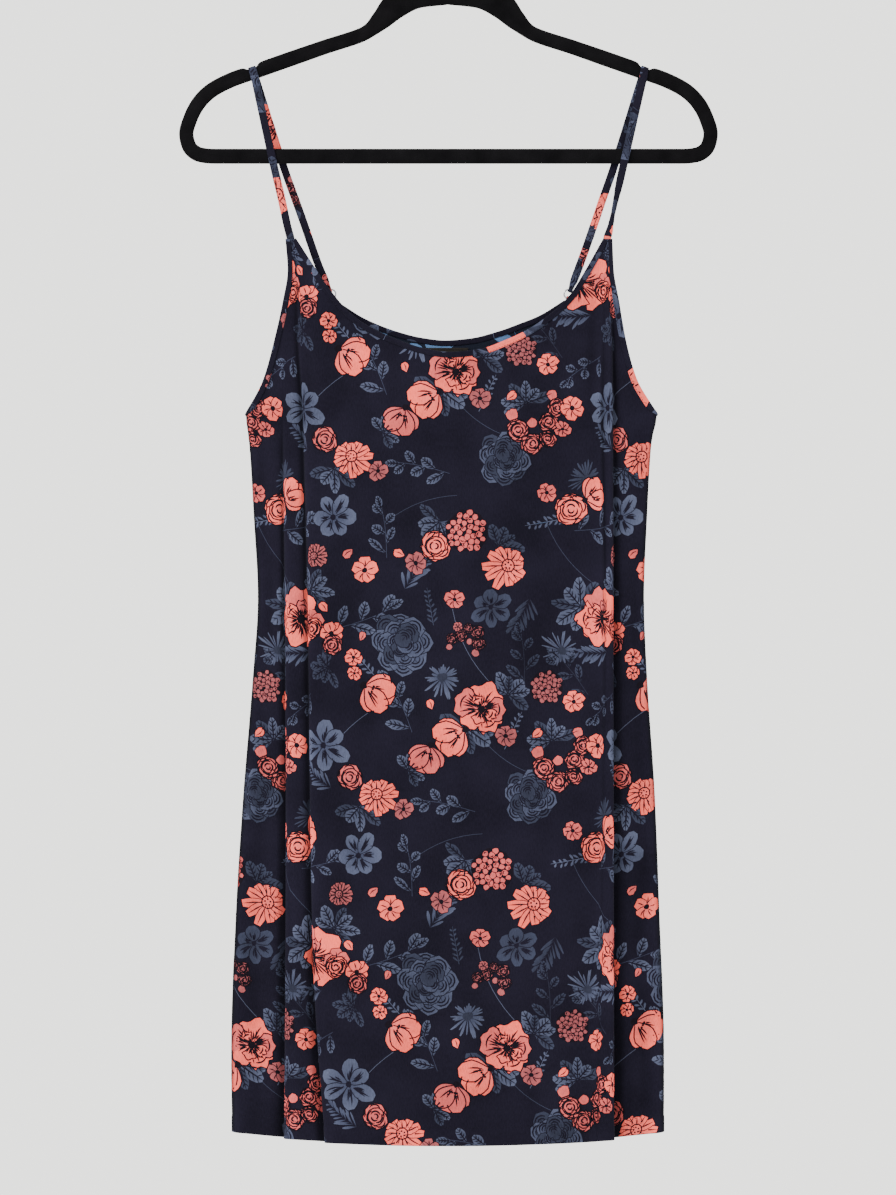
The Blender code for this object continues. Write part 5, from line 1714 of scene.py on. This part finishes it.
def binding_form(cloth, line, inside, narrow=None):
    """Sections of a folded binding along an edge line of the flat cloth."""
    inward = into_cloth(line, inside)
    narrow = np.ones(len(line)) if narrow is None else narrow
    edge, edge_normal = cloth.place(line)
    within, _ = cloth.place(line + inward * 1.2)
    off = unit(edge - within)
    gone = run_lengths(line)
    pucker = 1.0 + 0.12 * np.sin(2 * math.pi * gone / PUCKER_PITCH + 1.3 * np.sin(gone / 19.0))
    columns = []
    for reach, lift, out in BINDING_SECTION:
        if reach > 0:
            point, normal = cloth.place(line + inward * (reach * narrow)[:, None])
        else:
            point, normal = edge, edge_normal
        height = lift * pucker if lift > 0 else np.full(len(line), lift)
        columns.append(point + normal * height[:, None] + off * (out * narrow)[:, None])
    return np.stack(columns, axis=1)


def even_line(line, step=2.0):
    """Places at even steps along a line, by its own length."""
    gone = run_lengths(line)
    at = np.linspace(0.0, gone[-1], max(int(gone[-1] / step), 2) + 1)
    return np.stack([np.interp(at, gone, line[:, axis]) for axis in range(line.shape[1])], axis=1)


def trim_object(name, form, offset, turn, outward, material, nodes, kept=()):
    """A strip of the same cloth, cut on the slant out of the print."""
    cloth = strip_cloth(form, outward)
    flat = rotated(cloth.flat.reshape(-1, 2), turn) + offset
    sketch = draw_print(flat.min(axis=0), flat.max(axis=0)).cut_at(turn, offset)
    piece = printed_mesh(name, cloth, sketch, NAVY, kept or list(range(1, form.shape[1] - 1)))
    piece.data.materials.append(material)
    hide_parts(*nodes)
    return piece


# Sewing: short stitches of thread lying on the cloth
STITCH_LENGTH = 1.9
STITCH_PITCH = 2.5
STITCH_RADIUS = 0.17
STITCH_SIDES = 4
# Rings of one stitch: share of its length, share of its radius, and height over the cloth
STITCH_RINGS = ((0.0, 0.45, -0.12), (0.5, 1.0, 0.1), (1.0, 0.45, -0.12))


def stitches(points, normals):
    """Mesh of thread stitches along a row of places, each a small capsule pressed into the cloth."""
    gone = run_lengths(points)
    shares, radii, heights = np.array(STITCH_RINGS).T
    around = 2 * math.pi * np.arange(STITCH_SIDES) / STITCH_SIDES
    last = (len(shares) - 1) * STITCH_SIDES
    stitch_faces = grid_faces(len(shares), STITCH_SIDES, closed_columns=True)
    stitch_faces += [tuple(range(STITCH_SIDES))[::-1], tuple(last + j for j in range(STITCH_SIDES))]
    made, faces = [], []
    for start in np.arange(0.4, gone[-1] - STITCH_LENGTH, STITCH_PITCH):
        ring_places = start + STITCH_LENGTH * shares
        centre = np.stack([np.interp(ring_places, gone, points[:, axis]) for axis in range(3)], 1)
        lift = unit(np.stack([np.interp(ring_places, gone, normals[:, axis]) for axis in range(3)], 1))
        side = unit(np.cross(unit(centre[-1] - centre[0]), lift))
        faces += [tuple(len(made) + k for k in face) for face in stitch_faces]
        for k, radius in enumerate(STITCH_RADIUS * radii):
            for angle in around:
                up = heights[k] + radius * math.sin(angle)
                made.append(centre[k] + lift[k] * up + side[k] * radius * math.cos(angle))
    return made, faces


def stitch_rows(name, rows, material):
    points, faces = [], []
    for row_points, row_normals in rows:
        made, found = stitches(row_points, row_normals)
        faces += [tuple(len(points) + k for k in face) for face in found]
        points += made
    piece = mesh_object(name, points, faces)
    piece.data.materials.append(material)
    return piece


# How much thicker a ribbon bunches where it stands on edge
TWIST_BUNCH = 2.6


def ribbon_form(path, thickness, per=5, around=20):
    """A stitched ribbon of folded cloth: a flat rounded tube along a path of (point, across, width).

    Where the ribbon stands on edge in its half twist the cloth bunches, narrower and thicker.
    """
    points = smooth_rows([point for point, _, _ in path], per)
    across = unit(smooth_rows([side for _, side, _ in path], per))
    widths = smooth_rows([(width,) for _, _, width in path], per)[:, 0]
    along = unit(np.gradient(points, axis=0))
    across = unit(across - along * (across * along).sum(axis=1)[:, None])
    face = np.cross(along, across)
    bunched = np.clip(1.5 * np.abs(across[:, 1]) - 0.25, 0.0, 1.0) ** 1.5
    widths = widths * (1.0 - 0.3 * bunched)
    depths = thickness + TWIST_BUNCH * bunched
    angle = 2 * math.pi * np.arange(around + 1) / around
    wide = np.sign(np.cos(angle)) * np.abs(np.cos(angle)) ** 0.55
    thick = np.sign(np.sin(angle)) * np.abs(np.sin(angle)) ** 0.62
    dip = 1.0 - 0.3 * np.exp(-((np.abs(wide) - 0.72) / 0.1) ** 2)
    gone = np.arange(len(points))[:, None]
    wave = 0.1 * np.sin(gone * 0.37) * np.cos(angle)[None, :]
    return (
        points[:, None, :]
        + across[:, None, :] * (0.5 * widths[:, None] * wide[None, :])[:, :, None]
        + face[:, None, :] * (0.5 * depths[:, None] * (thick * dip)[None, :] + wave)[:, :, None]
    )


def smooth_loft(name, form, material, closed_rows=False, closed_columns=True, caps=True):
    """Skin a grid of points as one smooth piece."""
    rows, columns = form.shape[:2]
    faces = grid_faces(rows, columns, closed_rows, closed_columns)
    if caps and not closed_rows:
        faces.append(tuple(range(columns))[::-1])
        faces.append(tuple((rows - 1) * columns + c for c in range(columns)))
    piece = mesh_object(name, form.reshape(-1, 3), faces)
    piece.data.materials.append(material)
    fix_facing(piece)
    return piece


def fix_facing(piece):
    """Turn all faces outwards."""
    work = bmesh.new()
    work.from_mesh(piece.data)
    bmesh.ops.recalc_face_normals(work, faces=work.faces)
    work.to_mesh(piece.data)
    work.free()


def fine_hanger(material):
    """The flocked band as one closed loop of fine rounded sections."""
    half = np.concatenate((
        np.arange(0.0, 6.5, 0.125), np.arange(6.5, 7.6, 0.04),
        np.arange(7.625, 15.0, 0.125), np.arange(15.0, 17.01, 0.25),
    ))
    right = [hanger_section(step, False, 28) for step in half]
    left = [hanger_section(step, True, 28) for step in half[1:-1]]
    form = np.array(right + left[::-1])
    piece = smooth_loft("flocked_hanger", form, material, closed_rows=True)
    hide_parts("hanger_frame")
    return piece


def fine_hook(material):
    path = smooth_rows(hook_path(), 6)
    form = np.array(tube_sections(path, HOOK_WIRE_RADIUS, 20, np.array((0.0, 1.0, 0.0))))
    piece = smooth_loft("wire_hook", form, material)
    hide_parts("hanger_hook")
    return piece


def fine_ring(side, material):
    centre = np.array(RING_CENTRES[side])
    turns = 2 * math.pi * np.arange(40) / 40
    angles = 2 * math.pi * np.arange(14) / 14
    radial = np.stack((np.cos(turns), np.zeros(40), np.sin(turns)), axis=1)
    reach = RING_RADIUS + RING_WIRE_RADIUS * np.cos(angles)
    lift = RING_WIRE_RADIUS * np.sin(angles)
    depth = lift[None, :, None] * np.array((0.0, 1.0, 0.0))
    form = centre + radial[:, None, :] * reach[None, :, None] + depth
    piece = smooth_loft("wire_ring_" + side, form, material, closed_rows=True)
    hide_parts("ring_" + side)
    return piece


def tab_path(side):
    """The short loop of binding that holds the ring."""
    ring = np.array(RING_CENTRES[side])
    wire = ring - np.array((0.0, 0.0, RING_RADIUS))
    across = np.array((1.0, 0.0, 0.0))
    path = []
    for drop, width in ((TAB_LENGTH, TAB_WIDTH), (5.0, TAB_WIDTH), (1.5, 4.4)):
        path.append((wire + np.array((0.0, -LOOP_DEPTH, -drop)), across, width))
    for degrees in (-90, -45, 0, 45, 90):
        angle = math.radians(degrees)
        reach = np.array((0.0, LOOP_DEPTH * math.sin(angle), LOOP_REACH * math.cos(angle)))
        path.append((wire + reach, across, STRAP_PINCHED))
    for drop, width in ((1.5, 4.4), (5.0, TAB_WIDTH), (TAB_LENGTH, TAB_WIDTH)):
        path.append((wire + np.array((0.0, LOOP_DEPTH, -drop)), across, width))
    return path


def bare_label(material):
    """The bare dark tape inside the back neck, a little curled at its free edge."""
    low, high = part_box("label")
    low, high = np.array(low) / MM, np.array(high) / MM
    columns, rows = 40, 12
    x = np.linspace(low[0] + 0.3, high[0] - 0.3, columns)
    drop = np.linspace(0.0, LABEL_HEIGHT, rows)
    form = np.zeros((rows, columns, 3))
    spots = np.stack(np.meshgrid(x, LABEL_TOP - drop), axis=2)
    inner = BACK_CLOTH.place(spots.reshape(-1, 2))
    points = (inner[0] - inner[1] * (CLOTH + GAP)).reshape(rows, columns, 3)
    curl = 0.35 * (drop / LABEL_HEIGHT)[:, None] ** 2 * (1 + 0.4 * np.sin(x / 5.0))[None, :]
    normals = inner[1].reshape(rows, columns, 3)
    near = points - normals * curl[:, :, None]
    far = near - normals * 0.5
    form = np.concatenate((near, far[::-1]), axis=0)
    piece = smooth_loft("bare_label", np.swapaxes(form, 0, 1), material)
    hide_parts("label")
    return piece


PRINTED = cloth_material("printed_cloth", 0.3, 0.03)
WRONG_SIDE = cloth_material("printed_cloth_wrong_side", 0.2, 0.02)
FLOCK = flock_material()
WIRE = metal_material()
THREAD = thread_material("navy_thread", (0.011, 0.010, 0.018))
FRONT_OFFSET = np.array((-170.0, -1052.0))
BACK_OFFSET = np.array((-60.0, -1010.0))
FRONT_CLOTH, FRONT_LEVELS = dress_panel(
    "front_cloth", "front_panel", FRONT, FRONT_CREASES, FRONT_COUNTS, (2, 4, 6, 8), FRONT_OFFSET,
    PRINTED, WRONG_SIDE)
BACK_CLOTH, BACK_LEVELS = dress_panel(
    "back_cloth", "back_panel", BACK, BACK_CREASES, BACK_COUNTS, (2, 8), BACK_OFFSET, PRINTED, WRONG_SIDE)


def neck_line(panel, cloth, counts):
    """The neckline's edge in the flat cloth, between the strap corners."""
    first, last = panel.neck_zones
    starts = np.concatenate(([0], np.cumsum(counts)))
    return even_line(cloth.flat[-1, starts[first]:starts[last + 1] + 1])


def armhole_line(cloth, levels, right):
    column = -1 if right else 0
    rows = levels >= UNDERARM
    return even_line(cloth.flat[rows, column][::-1])


seam_rows = []
for name, panel, cloth, counts, turn, offset in (
    ("neck_binding_front", FRONT, FRONT_CLOTH, FRONT_COUNTS, 0.7, (160.0, 268.0)),
    ("neck_binding_back", BACK, BACK_CLOTH, BACK_COUNTS, 0.8, (184.0, 252.0)),
):
    line = neck_line(panel, cloth, counts)
    inside = line + np.array((0.0, -40.0))
    form = binding_form(cloth, line, inside)
    trim_object("bound_" + name, form, np.array(offset), turn, -panel.facing, PRINTED, [name])
    inward = into_cloth(line, inside)
    points, normals = cloth.place(line + inward * 3.1)
    seam_rows.append((points + normals * 0.8, normals))
for side, right in (("left", False), ("right", True)):
    forms = []
    for panel, cloth, levels in ((FRONT, FRONT_CLOTH, FRONT_LEVELS), (BACK, BACK_CLOTH, BACK_LEVELS)):
        line = armhole_line(cloth, levels, right)
        inside = line + np.array((-40.0 if right else 40.0, -10.0))
        low_end = np.clip((line[:, 1] - UNDERARM) / 6.0, 0.0, 1.0)
        forms.append(binding_form(cloth, line, inside, 0.45 + 0.55 * low_end))
        inward = into_cloth(line, inside)
        points, normals = cloth.place(line + inward * 3.1)
        seam_rows.append((points + normals * 0.8, normals))
    form = np.concatenate((forms[0], forms[1][::-1]))
    nodes = ["armhole_binding_front_" + side, "armhole_binding_back_" + side]
    trim_object("bound_armhole_" + side, form, np.array((40.0 if right else -70.0, 20.0)), -0.8,
                -1.0 if right else 1.0, PRINTED, nodes)
for cloth in (FRONT_CLOTH, BACK_CLOTH):
    hem = cloth.flat[0] + np.array((0.0, HEM_DEPTH))
    points, normals = cloth.place(even_line(hem))
    seam_rows.append((points + normals * 0.05, normals))
for side, turn, offset in (("left", 0.2, (243.0, 162.0)), ("right", 0.0, (219.0, 201.0))):
    path = front_run(side) + over_hanger(side) + back_run(side)
    form = ribbon_form(path, STRAP_THICKNESS)
    trim_object("stitched_strap_" + side, form, np.array(offset), turn, 1.0, PRINTED, ["strap_" + side])
    for column in (3, 7, 13, 17):
        row = form[:, column]
        middle = form[:, :-1].mean(axis=1)
        seam_rows.append((row, unit(row - middle)))
    loop = ribbon_form(tab_path(side), 0.8)
    at = np.array((10.0, 30.0))
    trim_object("stitched_loop_" + side, loop, at, 0.4, 1.0, PRINTED, ["back_tab_" + side])
    fine_ring(side, WIRE)
stitch_rows("stitching", seam_rows, THREAD)
fine_hanger(FLOCK)
fine_hook(WIRE)
bare_label(label_material())

# Light, floor and the camera at the photo's angle
ROOM_LIGHT, ROOM_SEEN = 1.5, 2.335
VIEW_HEIGHT = 0.990
VIEW_CENTRE = (-0.0004, 0.0, -0.5903)
LENS, SENSOR = 100.0, 36.0
distance = VIEW_HEIGHT * LENS / SENSOR
camera = bpy.data.objects.new("photo_camera", bpy.data.cameras.new("photo_camera"))
camera.data.lens = LENS
camera.data.sensor_width = SENSOR
camera.data.sensor_height = SENSOR
camera.data.sensor_fit = "AUTO"
camera.data.clip_end = 50.0
camera.location = (VIEW_CENTRE[0], -distance, VIEW_CENTRE[2])
camera.rotation_euler = (math.radians(90.0), 0.0, 0.0)
bpy.context.collection.objects.link(camera)
bpy.context.scene.camera = camera


def area_light(name, place, target, size, power):
    lamp = bpy.data.lights.new(name, "AREA")
    lamp.shape = "RECTANGLE"
    lamp.size, lamp.size_y = size
    lamp.energy = power
    lamp_object = bpy.data.objects.new(name, lamp)
    lamp_object.location = place
    aim = Vector(target) - Vector(place)
    lamp_object.rotation_euler = aim.to_track_quat("-Z", "Y").to_euler()
    bpy.context.collection.objects.link(lamp_object)


area_light("key", (-1.8, -1.5, 0.8), (0.0, 0.0, -0.45), (0.9, 0.9), 60.0)
area_light("fill", (1.7, -2.0, -0.2), (0.0, 0.0, -0.6), (1.8, 1.8), 10.0)
area_light("behind", (0.6, 2.2, 0.4), (0.0, 0.0, -0.6), (1.8, 1.8), 60.0)

world = bpy.data.worlds.new("pale_room")
world.use_nodes = True
seen = world.node_tree.nodes["Background"]
seen.inputs["Color"].default_value = (1.0, 1.0, 0.97, 1.0)
rays = node(world.node_tree, "ShaderNodeLightPath")
strength = node(world.node_tree, "ShaderNodeMapRange", [
    ("Value", rays.outputs["Is Camera Ray"]), ("To Min", ROOM_LIGHT), ("To Max", ROOM_SEEN)])
world.node_tree.links.new(strength.outputs[0], seen.inputs["Strength"])
bpy.context.scene.world = world

FLOOR_HEIGHT = -1.32
angle = 2 * math.pi * np.arange(64) / 64
ring = np.stack((0.95 * np.cos(angle), 0.95 * np.sin(angle), np.full(64, FLOOR_HEIGHT)), axis=1)
floor_mesh = bpy.data.meshes.new("floor")
floor_mesh.from_pydata(ring.tolist(), [], [tuple(range(64))])
floor = bpy.data.objects.new("floor", floor_mesh)
floor.data.materials.append(plain_stage_material("pale_floor", (0.66, 0.66, 0.65)))
bpy.context.collection.objects.link(floor)
